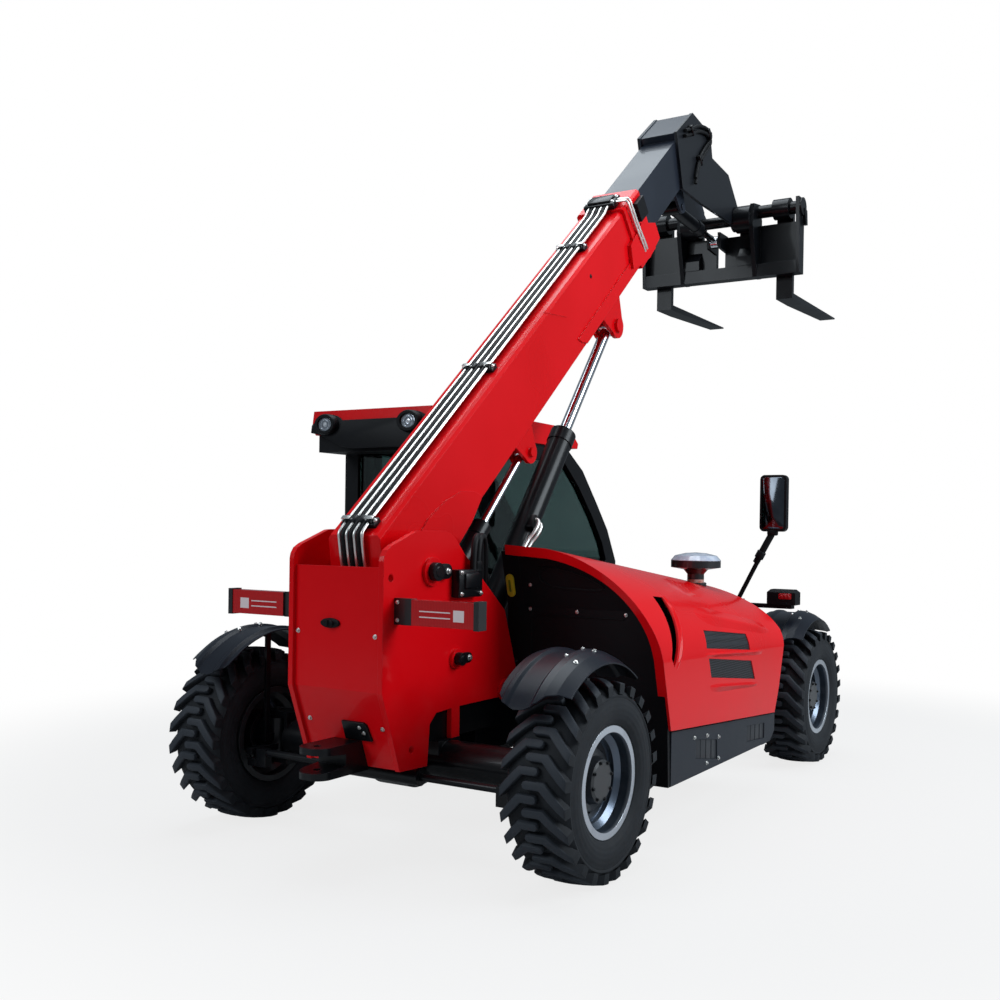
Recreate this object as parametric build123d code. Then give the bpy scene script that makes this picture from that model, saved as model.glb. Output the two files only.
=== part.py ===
from build123d import *
import os
from math import cos, hypot, radians, sin

# Compact telehandler, millimetres, built with X forward from the rear axle, Y left, Z up from the ground

# Wheels and axles
WHEELBASE = 2800.0
TYRE_RADIUS = 415.0
TYRE_WIDTH = 307.0
TREAD_DEPTH = 22.0
LUGS_PER_SIDE = 24
WHEEL_PLANE_Y = 925.0
RIM_WIDTH = 260.0
RIM_FLANGE_RADIUS = 229.0
BEAD_SEAT_RADIUS = 210.0
RIM_WALL = 9.0
HUB_RADIUS = 96.0
SPINDLE_RADIUS = 55.0
KINGPIN_Y = 770.0
KINGPIN_RADIUS = 25.0
KNUCKLE_RADIUS = 62.0
KNUCKLE_HALF_HEIGHT = 88.0
EAR_THICKNESS = 30.0
EAR_RADIUS = 50.0
AXLE_TUBE_RADIUS = 85.0
DIFFERENTIAL_RADIUS = 145.0
STEER_ARM_LENGTH = 190.0
STEER_ROD_RADIUS = 16.0
STAY_INNER_X = 85.0
STAY_OUTER_X = 112.0
STAY_PLATE = 14.0
FENDER_RADIUS = 488.0
FENDER_RISE = 22.0
FENDER_THICKNESS = 6.0
FENDER_INNER_Y = 738.0
FENDER_OUTER_Y = 1040.0
FENDER_REAR_ANGLE = 142.0
FENDER_FRONT_ANGLE = 46.0
# Rise of the fender's outer face at places across its width
FENDER_RISES = (
    (FENDER_INNER_Y, 0), (764, 0), (776, 12), (796, 12), (810, 2), (904, 2), (918, 14), (950, 11), (990, -4),
    (FENDER_OUTER_Y, -34)
)
# Outlines of the fender's ends: distance past the end, and width
FENDER_TONGUE = (
    (-240, 700), (-120, 737), (-66, 746), (-24, 780), (0, 836), (-4, 880), (-34, 930), (-70, 956), (-92, 1000),
    (-96, 1060), (-240, 1100)
)
FENDER_NOSE = ((-240, 700), (-60, 737), (-16, 762), (0, 810), (0, 950), (-20, 1006), (-64, 1042), (-240, 1100))
FENDER_END_REACH = 90.0

# Chassis and rear tower
RAIL_INNER_Y = 207.0
RAIL_THICKNESS = 25.0
RAIL_BOTTOM_Z = 505.0
RAIL_TOP_Z = 690.0
RAIL_REAR_X = -120.0
RAIL_FRONT_X = 3040.0
TOWER_PLATE = 25.0
TOWER_REAR_X = -467.0
TOWER_REAR_PLATE = 14.0
TOWER_BACK_SET = 15.0
TOWER_SHOULDER_Z = 1268.0
TOWER_KNEE_Z = 755.0
TOWER_FOOT_X = -345.0
TOWER_FOOT_Z = 420.0
TOWER_TOP_Z = 1420.0
BOSS_HEIGHT = 14.0
TAIL_LAMP_X = -405.0
TAIL_LAMP_DEPTH = 48.0
TAIL_LAMP_LOW_Z = 1037.0
TAIL_LAMP_HIGH_Z = 1142.0
TAIL_LAMP_INNER_Y = 352.0
TAIL_LAMP_OUTER_Y = 660.0
TAIL_LAMP_CAP = 24.0
GEARBOX_REAR_X = 330.0
GEARBOX_FRONT_X = 950.0
GEARBOX_HALF_WIDTH = 165.0
GEARBOX_BOTTOM_Z = 335.0
AXLE_NOSE_X = 270.0
AXLE_NOSE_RADIUS = 80.0

# Boom and its pins, side view
BOOM_ANGLE = 41.6
PIVOT_X = -150.0
PIVOT_Z = 1245.0
PIVOT_PIN_RADIUS = 40.0
BOOM_HALF_WIDTH = 142.0
BOOM_TOP = 236.0
BOOM_BOTTOM = -110.0
BOOM_CHAMFER = 14.0
BOOM_WALL = 14.0
BOOM_REAR = -130.0
BOOM_LENGTH = 3060.0
COLLAR_LENGTH = 250.0
COLLAR_RISE = 16.0
DOUBLER = 8.0
DOUBLER_LENGTH = 920.0
COLLAR_NOSE = 75.0
WEAR_PAD_LENGTH = 112.0
WEAR_PAD_THICKNESS = 28.0
INNER_HALF_WIDTH = 120.0
INNER_TOP = 228.0
INNER_BOTTOM = -45.0
INNER_WALL = 10.0
INNER_REAR = 760.0
INNER_FRONT = 3860.0
SLIDE_GAP = 0.5
LIFT_FOOT_X = 430.0
LIFT_FOOT_Z = 670.0
LIFT_EYE_U = 2470.0
LIFT_EYE_V = -305.0
LIFT_BARREL_RADIUS = 68.0
LIFT_ROD_RADIUS = 33.0
LIFT_BARREL_LENGTH = 1600.0
LIFT_PIN_RADIUS = 30.0
LEVEL_FOOT_X = 35.0
LEVEL_FOOT_Z = 855.0
LEVEL_EYE_U = 1230.0
LEVEL_EYE_V = -300.0
LEVEL_BARREL_RADIUS = 45.0
LEVEL_ROD_RADIUS = 22.0
LEVEL_BARREL_LENGTH = 800.0
LEVEL_PIN_RADIUS = 22.0
RUN_GAP = 0.08

# Boom head, carriage and forks
CARRIAGE_X = 3600.0
CARRIAGE_Z = 3700.0
CARRIAGE_PIN_RADIUS = 40.0
CARRIAGE_TUBE_RADIUS = 95.0
CARRIAGE_HALF_WIDTH = 590.0
NECK_PLATE = 22.0
NECK_GAP = 5.0
TILT_FOOT_X = 2800.0
TILT_FOOT_Z = 3600.0
TILT_EYE_X = 3555.0
TILT_EYE_Z = 3545.0
TILT_BARREL_RADIUS = 42.0
TILT_ROD_RADIUS = 21.0
TILT_BARREL_LENGTH = 430.0
TILT_LUG_INNER_Y = 34.0
TILT_LUG_PLATE = 20.0
FORK_SHAFT_RADIUS = 45.0
FORK_EYE_RADIUS = 72.0
FORK_FLANGE_RADIUS = 62.0
TINE_Y = 475.0
TINE_WIDTH = 120.0
TINE_THICKNESS = 40.0
TINE_LENGTH = 1060.0
TINE_TIP = 10.0
TINE_TOP_Z = 3160.0

# Hood and skirt on the right
HOOD_REAR_X = 420.0
HOOD_FRONT_X = 2165.0
HOOD_INNER_Y = -256.0
HOOD_SIDE_Y = -1050.0
HOOD_REAR_TOP_Z = 1358.0
HOOD_FRONT_TOP_Z = 1139.3
HOOD_WALL = 12.0
HOOD_RIM = 46.0
HOOD_RIM_DEPTH = 30.0
HOOD_REAR_EDGE_Z = 530.0
HOOD_FRONT_EDGE_Z = 425.0
SKIRT_BOTTOM_Z = 265.0
SKIRT_THICKNESS = 20.0
SKIRT_REAR_X = 650.0
SKIRT_FRONT_X = 2050.0
SEAM_GAP = 6.0
BAY_WALL = 12.0
HINGE_GAP = 0.3
HINGE_STRIP = 60.0
BAY_REAR_X = 590.0
BAY_FRONT_X = 2090.0

# Cab on the left
CAB_INNER_Y = 245.0
CAB_OUTER_Y = 985.0
CAB_REAR_X = 700.0
CAB_FLOOR_Z = 640.0
CAB_ROOF_Z = 1930.0
CAB_SILL_Z = 1180.0
CAB_WINDOW_TOP_Z = 1840.0
CAB_WALL = 45.0
CAB_NOSE_X = 2520.0
ROOF_THICKNESS = 120.0
ROOF_REAR_X = 450.0
ROOF_FRONT_X = 1960.0
GLASS = 6.0
DOOR_REAR_X = 900.0
DOOR_SILL_Z = 720.0
DOOR_TOP_Z = 1885.0
DOOR_GAP = 6.0
DOOR_HINGE_OFFSET = 8.0
DOOR_HINGE_RADIUS = 11.0
DOOR_HINGE_LENGTH = 90.0
DOOR_PIN_RADIUS = 5.0
DOOR_LUG_RADIUS = 7.5
DOOR_LUG_THICKNESS = 14.0
GLASS_GAP = 0.4
SCREEN_INSET = 8.0
SCREEN_FRAME = 70.0
REAR_FRAME = 90.0

# Derived places
TOWER_INNER_Y = RAIL_INNER_Y + RAIL_THICKNESS
TOWER_OUTER_Y = TOWER_INNER_Y + TOWER_PLATE
ANGLE = radians(BOOM_ANGLE)
BOOM_PLANE = Plane(origin=(PIVOT_X, 0, PIVOT_Z), x_dir=(cos(ANGLE), 0, sin(ANGLE)), z_dir=(0, -1, 0))


def polygon(*points):
    return make_face(Polyline(*points, close=True))


def side(sketch, y_low, y_high):
    # A side view drawn in X and Z, as thick as the span in Y
    return extrude(Plane.XZ.offset(-y_high) * sketch, y_high - y_low)


def boom_side(sketch, y_low, y_high):
    # A side view drawn along and across the boom
    return extrude(BOOM_PLANE.offset(-y_high) * sketch, y_high - y_low)


def both_sides(shape):
    return shape + mirror(shape, about=Plane.XZ)


def block(x_low, x_high, y_low, y_high, z_low, z_high):
    middle = ((x_low + x_high) / 2, (y_low + y_high) / 2, (z_low + z_high) / 2)
    return Pos(*middle) * Box(x_high - x_low, y_high - y_low, z_high - z_low)


def bar_y(x, z, radius, y_low, y_high):
    return side(Pos(x, z) * Circle(radius), y_low, y_high)


def bar_z(x, y, radius, z_low, z_high):
    return extrude(Plane.XY.offset(z_low) * Pos(x, y) * Circle(radius), z_high - z_low)


def bar_between(start, end, radius):
    # A round bar in the plane Y = 0, from one point in X and Z to another
    run = Vector(end[0] - start[0], 0, end[1] - start[1])
    plane = Plane(origin=(start[0], 0, start[1]), z_dir=run)
    return extrude(plane * Circle(radius), run.length)


def along(start, end, distance):
    run = hypot(end[0] - start[0], end[1] - start[1])
    share = distance / run
    return (start[0] + (end[0] - start[0]) * share, start[1] + (end[1] - start[1]) * share)


def boom_point(u, v):
    return (PIVOT_X + u * cos(ANGLE) - v * sin(ANGLE), PIVOT_Z + u * sin(ANGLE) + v * cos(ANGLE))


def boom_coordinates(x, z):
    run_x = x - PIVOT_X
    run_z = z - PIVOT_Z
    return (run_x * cos(ANGLE) + run_z * sin(ANGLE), run_z * cos(ANGLE) - run_x * sin(ANGLE))


LIFT_FOOT = (LIFT_FOOT_X, LIFT_FOOT_Z)
LIFT_EYE = boom_point(LIFT_EYE_U, LIFT_EYE_V)
LEVEL_FOOT = (LEVEL_FOOT_X, LEVEL_FOOT_Z)
LEVEL_EYE = boom_point(LEVEL_EYE_U, LEVEL_EYE_V)
TILT_FOOT = (TILT_FOOT_X, TILT_FOOT_Z)
TILT_EYE = (TILT_EYE_X, TILT_EYE_Z)
TILT_FOOT_U, TILT_FOOT_V = boom_coordinates(*TILT_FOOT)
CARRIAGE_U, CARRIAGE_V = boom_coordinates(CARRIAGE_X, CARRIAGE_Z)

# Wheels, made once about the origin with +Y outward
def tyre():
    half = TYRE_WIDTH / 2
    base = TYRE_RADIUS - TREAD_DEPTH
    bead_y = RIM_WIDTH / 2 - 13
    bead_top = RIM_FLANGE_RADIUS + 5
    sidewall = [
        (BEAD_SEAT_RADIUS, bead_y),
        (bead_top, bead_y),
        (bead_top + 22, half - 18),
        ((bead_top + base) / 2 - 8, half),
        (base - 38, half - 6),
        (base - 8, half - 26),
        (base, half - 70),
    ]
    mirrored = [(radius, -y) for radius, y in reversed(sidewall)]
    carcass = revolve(polygon(*sidewall, *mirrored), Axis.Y)
    lug_outline = polygon(
        (34, -20), (50, -33), (66, -20), (66, 60), (-26, half - 1), (-70, half - 1), (34, 42)
    )
    blank = extrude(Plane.XY.offset(base - 30) * lug_outline, TREAD_DEPTH + 40)
    crown = polygon(
        (base - 30, -half), (TYRE_RADIUS, -half), (TYRE_RADIUS, half - 72),
        (TYRE_RADIUS - 14, half - 1), (base - 64, half - 1)
    )
    lug = blank & revolve(crown, Axis.Y)
    pitch = 360.0 / LUGS_PER_SIDE
    outer = [Rot(0, pitch * i, 0) * lug for i in range(LUGS_PER_SIDE)]
    far_lug = mirror(lug, about=Plane.XZ)
    inner = [Rot(0, pitch * (i + 0.5), 0) * far_lug for i in range(LUGS_PER_SIDE)]
    return carcass.fuse(*outer, *inner)


def rim():
    half = RIM_WIDTH / 2
    well = BEAD_SEAT_RADIUS - 26
    flange = 12
    barrel = polygon(
        (RIM_FLANGE_RADIUS, half), (RIM_FLANGE_RADIUS, half - flange), (BEAD_SEAT_RADIUS, half - flange),
        (BEAD_SEAT_RADIUS - 2, half - 55), (well, half - 75), (well, 75 - half),
        (BEAD_SEAT_RADIUS - 2, 55 - half), (BEAD_SEAT_RADIUS, flange - half),
        (RIM_FLANGE_RADIUS, flange - half), (RIM_FLANGE_RADIUS, -half),
        (BEAD_SEAT_RADIUS - RIM_WALL, -half), (BEAD_SEAT_RADIUS - RIM_WALL - 2, 52 - half),
        (well - RIM_WALL, 72 - half), (well - RIM_WALL, half - 72),
        (BEAD_SEAT_RADIUS - RIM_WALL - 2, half - 52), (BEAD_SEAT_RADIUS - RIM_WALL, half)
    )
    disc = polygon(
        (SPINDLE_RADIUS + RUN_GAP, -66), (HUB_RADIUS, -66), (HUB_RADIUS + 8, 14), (well - RIM_WALL - 10, 22),
        (well - RIM_WALL, 22), (well - RIM_WALL, 34), (HUB_RADIUS + 34, 34), (HUB_RADIUS + 30, 52),
        (HUB_RADIUS + 4, 56), (HUB_RADIUS - 8, 92), (HUB_RADIUS - 22, 98), (0, 98), (0, 8),
        (SPINDLE_RADIUS + RUN_GAP, 8)
    )
    return revolve(barrel, Axis.Y) + revolve(disc, Axis.Y)


# Steered knuckle of the left side, about the axle centre
def knuckle():
    body = bar_z(0, KINGPIN_Y, KNUCKLE_RADIUS, -KNUCKLE_HALF_HEIGHT, KNUCKLE_HALF_HEIGHT)
    pin_reach = KNUCKLE_HALF_HEIGHT + EAR_THICKNESS + 12
    pins = bar_z(0, KINGPIN_Y, KINGPIN_RADIUS, -pin_reach, pin_reach)
    flange = bar_y(0, 0, KNUCKLE_HALF_HEIGHT - 2, KINGPIN_Y + 10, WHEEL_PLANE_Y - 80)
    spindle = bar_y(0, 0, SPINDLE_RADIUS, WHEEL_PLANE_Y - 80, WHEEL_PLANE_Y + 6)
    arm = block(-STEER_ARM_LENGTH - 24, -40, KINGPIN_Y - 44, KINGPIN_Y - 8, -60, -32)
    ball = bar_z(-STEER_ARM_LENGTH, KINGPIN_Y - 26, 14, -74, -60)
    reach = KINGPIN_Y - 14
    stays = None
    for x_low, x_high in ((-STAY_OUTER_X, -STAY_INNER_X), (STAY_INNER_X, STAY_OUTER_X)):
        foot = block(min(x_low, 0), max(x_high, 0), reach - STAY_PLATE, reach, -18, 18)
        post = block(x_low, x_high, reach - STAY_PLATE, reach, -18, FENDER_RISE + FENDER_RADIUS)
        stays = foot + post if stays is None else stays + foot + post
    shell = fender_shell(FENDER_RADIUS + 400)
    return body + pins + flange + spindle + arm + ball + (stays & shell)


def fender_shell(width):
    # Everything under the fender's inside face
    return bar_y(0, FENDER_RISE, FENDER_RADIUS, FENDER_INNER_Y - width, FENDER_OUTER_Y + width)


def fender_end(angle, turn, outline):
    # Waste round an end of the fender; turn is 1 at the rear and -1 at the front
    c = cos(radians(angle))
    s = sin(radians(angle))
    plane = Plane(origin=(FENDER_RADIUS * c, 0, FENDER_RISE + FENDER_RADIUS * s),
                  x_dir=(-turn * s, 0, turn * c), z_dir=(-turn * c, 0, -turn * s))
    waste = polygon((-230, 690), (80, 690), (80, 1110), (-230, 1110)) - polygon(*outline)
    return extrude(plane * waste, FENDER_END_REACH, both=True)


def fender():
    # Shell spun over the wheel, with two ridges, a flared outer edge and a rounded tongue at the rear
    outer = [(FENDER_RADIUS + FENDER_THICKNESS + rise, y) for y, rise in FENDER_RISES]
    inner = [(radius - FENDER_THICKNESS, y) for radius, y in reversed(outer)]
    span = FENDER_REAR_ANGLE - FENDER_FRONT_ANGLE
    shell = revolve(polygon(*outer, *inner), Axis.Y, revolution_arc=span)
    shell = Pos(0, 0, FENDER_RISE) * Rot(0, -FENDER_REAR_ANGLE, 0) * shell
    shell -= fender_end(FENDER_REAR_ANGLE, 1, FENDER_TONGUE)
    return shell - fender_end(FENDER_FRONT_ANGLE, -1, FENDER_NOSE)


# Axle beam with its steering forks and cylinder, about the axle centre
def axle():
    fork_y = KINGPIN_Y - 105
    tube = bar_y(0, 0, AXLE_TUBE_RADIUS, -fork_y, fork_y)
    case = revolve(
        Plane.XY * polygon((0, -190), (95, -180), (DIFFERENTIAL_RADIUS, -90), (DIFFERENTIAL_RADIUS, 90),
                           (95, 180), (0, 190)), Axis.Y)
    nose = extrude(Plane.YZ.offset(80) * Circle(AXLE_NOSE_RADIUS), AXLE_NOSE_X - 80)
    ear_low = KNUCKLE_HALF_HEIGHT + 6
    ear_high = ear_low + EAR_THICKNESS
    ear = Pos(0, KINGPIN_Y) * Circle(EAR_RADIUS)
    neck = Pos(0, (fork_y - 20 + KINGPIN_Y) / 2) * Rectangle(2 * EAR_RADIUS, KINGPIN_Y - fork_y + 20)
    hole = Pos(0, KINGPIN_Y) * Circle(KINGPIN_RADIUS + RUN_GAP)
    outline = ear + neck - hole
    upper = extrude(Plane.XY.offset(ear_low) * outline, EAR_THICKNESS)
    lower = extrude(Plane.XY.offset(-ear_high) * outline, EAR_THICKNESS)
    flange = block(-72, 72, fork_y - 20, fork_y, -ear_high, ear_high)
    pad = block(-80, 80, RAIL_INNER_Y - 12, TOWER_OUTER_Y, 0, RAIL_BOTTOM_Z - TYRE_RADIUS)
    arms = both_sides(upper + lower + flange + pad)
    ram_z = -46
    ram_x = -STEER_ARM_LENGTH
    ram = bar_y(ram_x, ram_z, 38, -250, 250)
    saddle = block(ram_x, -40, -170, 170, ram_z - 16, ram_z + 16)
    bore = bar_y(ram_x, ram_z, STEER_ROD_RADIUS + RUN_GAP, -251, 251)
    return tube + case + nose + arms + ram + saddle - bore


def steer_rod():
    # One rod through the cylinder, with a fork at each end below the knuckle arm
    ram_z = -46
    ram_x = -STEER_ARM_LENGTH
    end_y = KINGPIN_Y - 26 - 70
    rod = bar_y(ram_x, ram_z, STEER_ROD_RADIUS, -end_y, end_y)
    link = block(ram_x - 20, ram_x + 20, end_y - 30, end_y + 30, -112, ram_z + 16)
    pad = block(ram_x - 24, ram_x + 24, end_y + 30, end_y + 80, -112, -77)
    return rod + both_sides(link + pad)


# Frame rails, belly plate and cross members
def chassis_frame():
    rail = block(RAIL_REAR_X, RAIL_FRONT_X, RAIL_INNER_Y, TOWER_INNER_Y, RAIL_BOTTOM_Z, RAIL_TOP_Z)
    rail -= bar_y(LIFT_FOOT_X, LIFT_FOOT_Z, LIFT_PIN_RADIUS + 1, 0, 400)
    outrigger = block(1000, 1080, TOWER_INNER_Y, CAB_OUTER_Y - 120, CAB_FLOOR_Z - 90, CAB_FLOOR_Z)
    outriggers = outrigger + Pos(900, 0, 0) * outrigger
    belly = block(260, 2540, -RAIL_INNER_Y, RAIL_INNER_Y, RAIL_BOTTOM_Z, RAIL_BOTTOM_Z + 14)
    front = block(RAIL_FRONT_X, RAIL_FRONT_X + 20, -300, 300, 420, 780)
    bumper = block(RAIL_FRONT_X + 20, RAIL_FRONT_X + 60, -330, 330, 440, 560)
    eye = bar_y(RAIL_FRONT_X + 80, 500, 40, -20, 20)
    eye += block(RAIL_FRONT_X + 40, RAIL_FRONT_X + 80, -20, 20, 460, 540)
    eye -= bar_y(RAIL_FRONT_X + 80, 500, 20, -30, 30)
    cross = block(2330, 2390, -RAIL_INNER_Y, RAIL_INNER_Y, RAIL_BOTTOM_Z + 14, RAIL_BOTTOM_Z + 70)
    return both_sides(rail) + outriggers + belly + front + bumper + eye + cross


# Gearbox and drive motor under the belly plate, coupled to the rear axle's nose
def transmission():
    half = GEARBOX_HALF_WIDTH
    case = block(GEARBOX_REAR_X, GEARBOX_FRONT_X, -half, half, GEARBOX_BOTTOM_Z, RAIL_BOTTOM_Z)
    case = chamfer(case.edges().group_by(Axis.Z)[0], 40)
    shaft_line = Pos(0, TYRE_RADIUS)
    coupling = extrude(Plane.YZ.offset(AXLE_NOSE_X) * shaft_line * Circle(60), GEARBOX_REAR_X - AXLE_NOSE_X)
    motor = extrude(Plane.YZ.offset(GEARBOX_FRONT_X) * shaft_line * Circle(75), 210)
    return case + coupling + motor


# Red rear tower that carries the boom
def tower_outline():
    return polygon(
        (TOWER_REAR_X, TOWER_KNEE_Z), (TOWER_REAR_X, TOWER_SHOULDER_Z + 26), (-462, 1316), (-446, 1340),
        (-415, 1358), (-256, TOWER_TOP_Z - 3), (-225, TOWER_TOP_Z), (-55, TOWER_TOP_Z), (-10, TOWER_TOP_Z - 10),
        (30, TOWER_TOP_Z - 38), (92, TOWER_TOP_Z - 100), (428, 1048), (571, 660), (560, 640), (60, 640),
        (-100, 632), (-145, 590), (-160, TOWER_FOOT_Z - 8), (TOWER_FOOT_X, TOWER_FOOT_Z)
    )


def rear_tower():
    plates = both_sides(side(tower_outline(), TOWER_INNER_Y, TOWER_OUTER_Y))
    # The rear plate lies a little in from the side plates' edges
    back_x = TOWER_REAR_X + TOWER_BACK_SET
    foot_x = TOWER_FOOT_X + TOWER_BACK_SET
    thick = TOWER_REAR_PLATE
    back = block(back_x, back_x + thick, -TOWER_INNER_Y, TOWER_INNER_Y, TOWER_KNEE_Z, TOWER_SHOULDER_Z)
    slope = side(polygon(
        (back_x, TOWER_KNEE_Z), (back_x + thick, TOWER_KNEE_Z), (foot_x + thick, TOWER_FOOT_Z),
        (foot_x, TOWER_FOOT_Z)
    ), -TOWER_INNER_Y, TOWER_INNER_Y)
    leg = block(12, 72, TOWER_INNER_Y, TOWER_OUTER_Y, RAIL_BOTTOM_Z, 645)
    tower = plates + back + slope + both_sides(leg)
    for x, z, radius in (
        (PIVOT_X, PIVOT_Z, PIVOT_PIN_RADIUS), LIFT_FOOT + (LIFT_PIN_RADIUS,), LEVEL_FOOT + (LEVEL_PIN_RADIUS,)
    ):
        boss = bar_y(x, z, radius + 22, TOWER_OUTER_Y, TOWER_OUTER_Y + BOSS_HEIGHT)
        tower += both_sides(boss) + bar_y(x, z, radius, -TOWER_OUTER_Y - 40, TOWER_OUTER_Y + 40)
    for x, z in ((-420, 1225), (-270, 500)):
        tower -= bar_y(x, z, 16, -400, 400)
    return tower


def slope_x(z):
    # Outer face of the tower's lower rear plate at a height
    share = (TOWER_KNEE_Z - z) / (TOWER_KNEE_Z - TOWER_FOOT_Z)
    return TOWER_REAR_X + TOWER_BACK_SET + share * (TOWER_FOOT_X - TOWER_REAR_X)


HITCH_PIN_X = -560.0
HITCH_PIN_RADIUS = 16.0
HITCH_LOW_Z = 405.0
HITCH_HIGH_Z = 535.0
HITCH_JAW = 28.0
HITCH_HALF_WIDTH = 75.0
HITCH_REAR_X = -620.0
HITCH_THROAT_X = -470.0


def tow_hitch():
    outline = polygon(
        (slope_x(HITCH_LOW_Z), HITCH_LOW_Z), (slope_x(HITCH_HIGH_Z), HITCH_HIGH_Z),
        (HITCH_REAR_X, HITCH_HIGH_Z),
        (HITCH_REAR_X, HITCH_HIGH_Z - HITCH_JAW), (HITCH_THROAT_X, HITCH_HIGH_Z - HITCH_JAW - 14),
        (HITCH_THROAT_X, HITCH_LOW_Z + HITCH_JAW + 14), (HITCH_REAR_X, HITCH_LOW_Z + HITCH_JAW),
        (HITCH_REAR_X, HITCH_LOW_Z)
    )
    jaw = side(outline, -HITCH_HALF_WIDTH, HITCH_HALF_WIDTH)
    plan = Rectangle(HITCH_REAR_X * -2, 2 * HITCH_HALF_WIDTH)
    plan = fillet(plan.vertices().group_by(Axis.X)[0], HITCH_HALF_WIDTH - 15)
    jaw &= extrude(plan, 1000)
    return jaw - bar_z(HITCH_PIN_X, 0, HITCH_PIN_RADIUS, 0, 1000)


# Tail lamps on arms out from the tower
def tail_lamps():
    front_x = TAIL_LAMP_X + TAIL_LAMP_DEPTH
    bracket = block(TAIL_LAMP_X + 8, front_x - 10, TOWER_OUTER_Y, TAIL_LAMP_INNER_Y, TAIL_LAMP_LOW_Z - 2,
                    TAIL_LAMP_HIGH_Z + 2)
    housing = block(TAIL_LAMP_X, front_x, TAIL_LAMP_INNER_Y, TAIL_LAMP_OUTER_Y,
                    TAIL_LAMP_LOW_Z, TAIL_LAMP_HIGH_Z)
    cap = block(TAIL_LAMP_X - 4, front_x + 4, TAIL_LAMP_OUTER_Y, TAIL_LAMP_OUTER_Y + TAIL_LAMP_CAP,
                TAIL_LAMP_LOW_Z - 5, TAIL_LAMP_HIGH_Z + 5)
    return both_sides(bracket + housing + cap)


# Hood: a ruled arch that falls and narrows a little to the front
def hood_arch(x, top_z, inset, inner_y):
    drop = HOOD_REAR_TOP_Z - top_z
    side_y = HOOD_SIDE_Y + inset
    with BuildSketch(Plane.YZ.offset(x)) as sketch:
        with BuildLine():
            Polyline((inner_y, 200), (inner_y, top_z - inset), (-480, top_z - 13 - inset))
            Bezier((-480, top_z - 13 - inset), (-800, top_z - 58 - inset),
                   (side_y + 10, top_z - 298 + drop * 0.45), (side_y, 850 - drop * 0.3))
            Polyline((side_y, 850 - drop * 0.3), (side_y, 200), (inner_y, 200))
        make_face()
    return sketch.sketch


HOOD_REAR_EDGE = ((HOOD_REAR_X, HOOD_REAR_TOP_Z), (465, 1060), (502, 870), (600, HOOD_REAR_EDGE_Z))


def hood_side_view():
    return polygon(
        (HOOD_REAR_X, 1500), *HOOD_REAR_EDGE, (HOOD_FRONT_X - 170, HOOD_FRONT_EDGE_Z),
        (HOOD_FRONT_X - 105, 560), (HOOD_FRONT_X - 2, 880), (HOOD_FRONT_X, 1500)
    )


def hood_top(x):
    slope = (HOOD_FRONT_TOP_Z - HOOD_REAR_TOP_Z) / (HOOD_FRONT_X - HOOD_REAR_X)
    return HOOD_REAR_TOP_Z + slope * (x - HOOD_REAR_X)


def hood_body(inset, rear_x, front_x, inner_y=HOOD_INNER_Y):
    rear = hood_arch(rear_x, hood_top(rear_x), inset, inner_y)
    front = hood_arch(front_x, hood_top(front_x), inset, inner_y)
    return loft([rear, front], ruled=True)


GRILLE_WINDOWS = (
    ((1044, 952), (1585, 895), (1590, 812), (1012, 868)), ((1029, 818), (1613, 752), (1672, 649), (1064, 722))
)
SLASH_VENT = ((732, 1127), (843, 1116), (628, 815), (598, 858))
WINDOW_DEPTH = 230.0


def window_prism(outline):
    return side(polygon(*outline), HOOD_SIDE_Y - 50, HOOD_SIDE_Y + WINDOW_DEPTH)


def engine_hood():
    shell = hood_body(0.0, HOOD_REAR_X, HOOD_FRONT_X) & side(hood_side_view(), -2000, 0)
    inside = hood_body(HOOD_WALL, HOOD_REAR_X - 300, HOOD_FRONT_X - 40)
    front = HOOD_FRONT_X
    keep_view = polygon((0, 0), (0, 1500), (front - 14, 1500), (front - 16, 874), (front - 119, 560),
                        (front - 195, 300), (front - 195, 0))
    keep = side(keep_view, -2000, 400)
    # A deep rim along the rear edge, down to where the bay's panel comes close behind it
    edge = HOOD_REAR_EDGE[:3] + ((553, 690),)
    strip = edge + tuple((x + HOOD_RIM_DEPTH, z) for x, z in reversed(edge))
    rim_zone = side(polygon(*strip), -2000, HOOD_INNER_Y)
    hollow = (inside & keep) - (rim_zone - hood_body(HOOD_RIM, HOOD_REAR_X - 300, HOOD_FRONT_X - 40))
    hood = shell - hollow
    for outline in GRILLE_WINDOWS + (SLASH_VENT,):
        hood -= window_prism(outline)
    return hood


def hood_grilles():
    # Mesh plates in the side windows, within the hood's wall and bent as it is
    skin = hood_body(4.0, HOOD_REAR_X, HOOD_FRONT_X) - hood_body(9.0, HOOD_REAR_X - 10, HOOD_FRONT_X + 10)
    plates = None
    for outline in GRILLE_WINDOWS:
        plate = window_prism(outline) & skin
        plates = plate if plates is None else plates + plate
    return plates


PRECLEANER_X = 1895.0
PRECLEANER_Y = -600.0


def air_precleaner():
    foot_z = 1120
    stem = revolve(Plane.XZ * polygon((0, 0), (62, 0), (62, 20), (48, 26), (48, 70), (70, 96), (142, 108),
                                      (142, 150), (120, 176), (60, 190), (0, 194)), Axis.Z)
    stem = Pos(PRECLEANER_X, PRECLEANER_Y, foot_z) * stem
    return stem - hood_body(0.0, HOOD_REAR_X, HOOD_FRONT_X)


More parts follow.
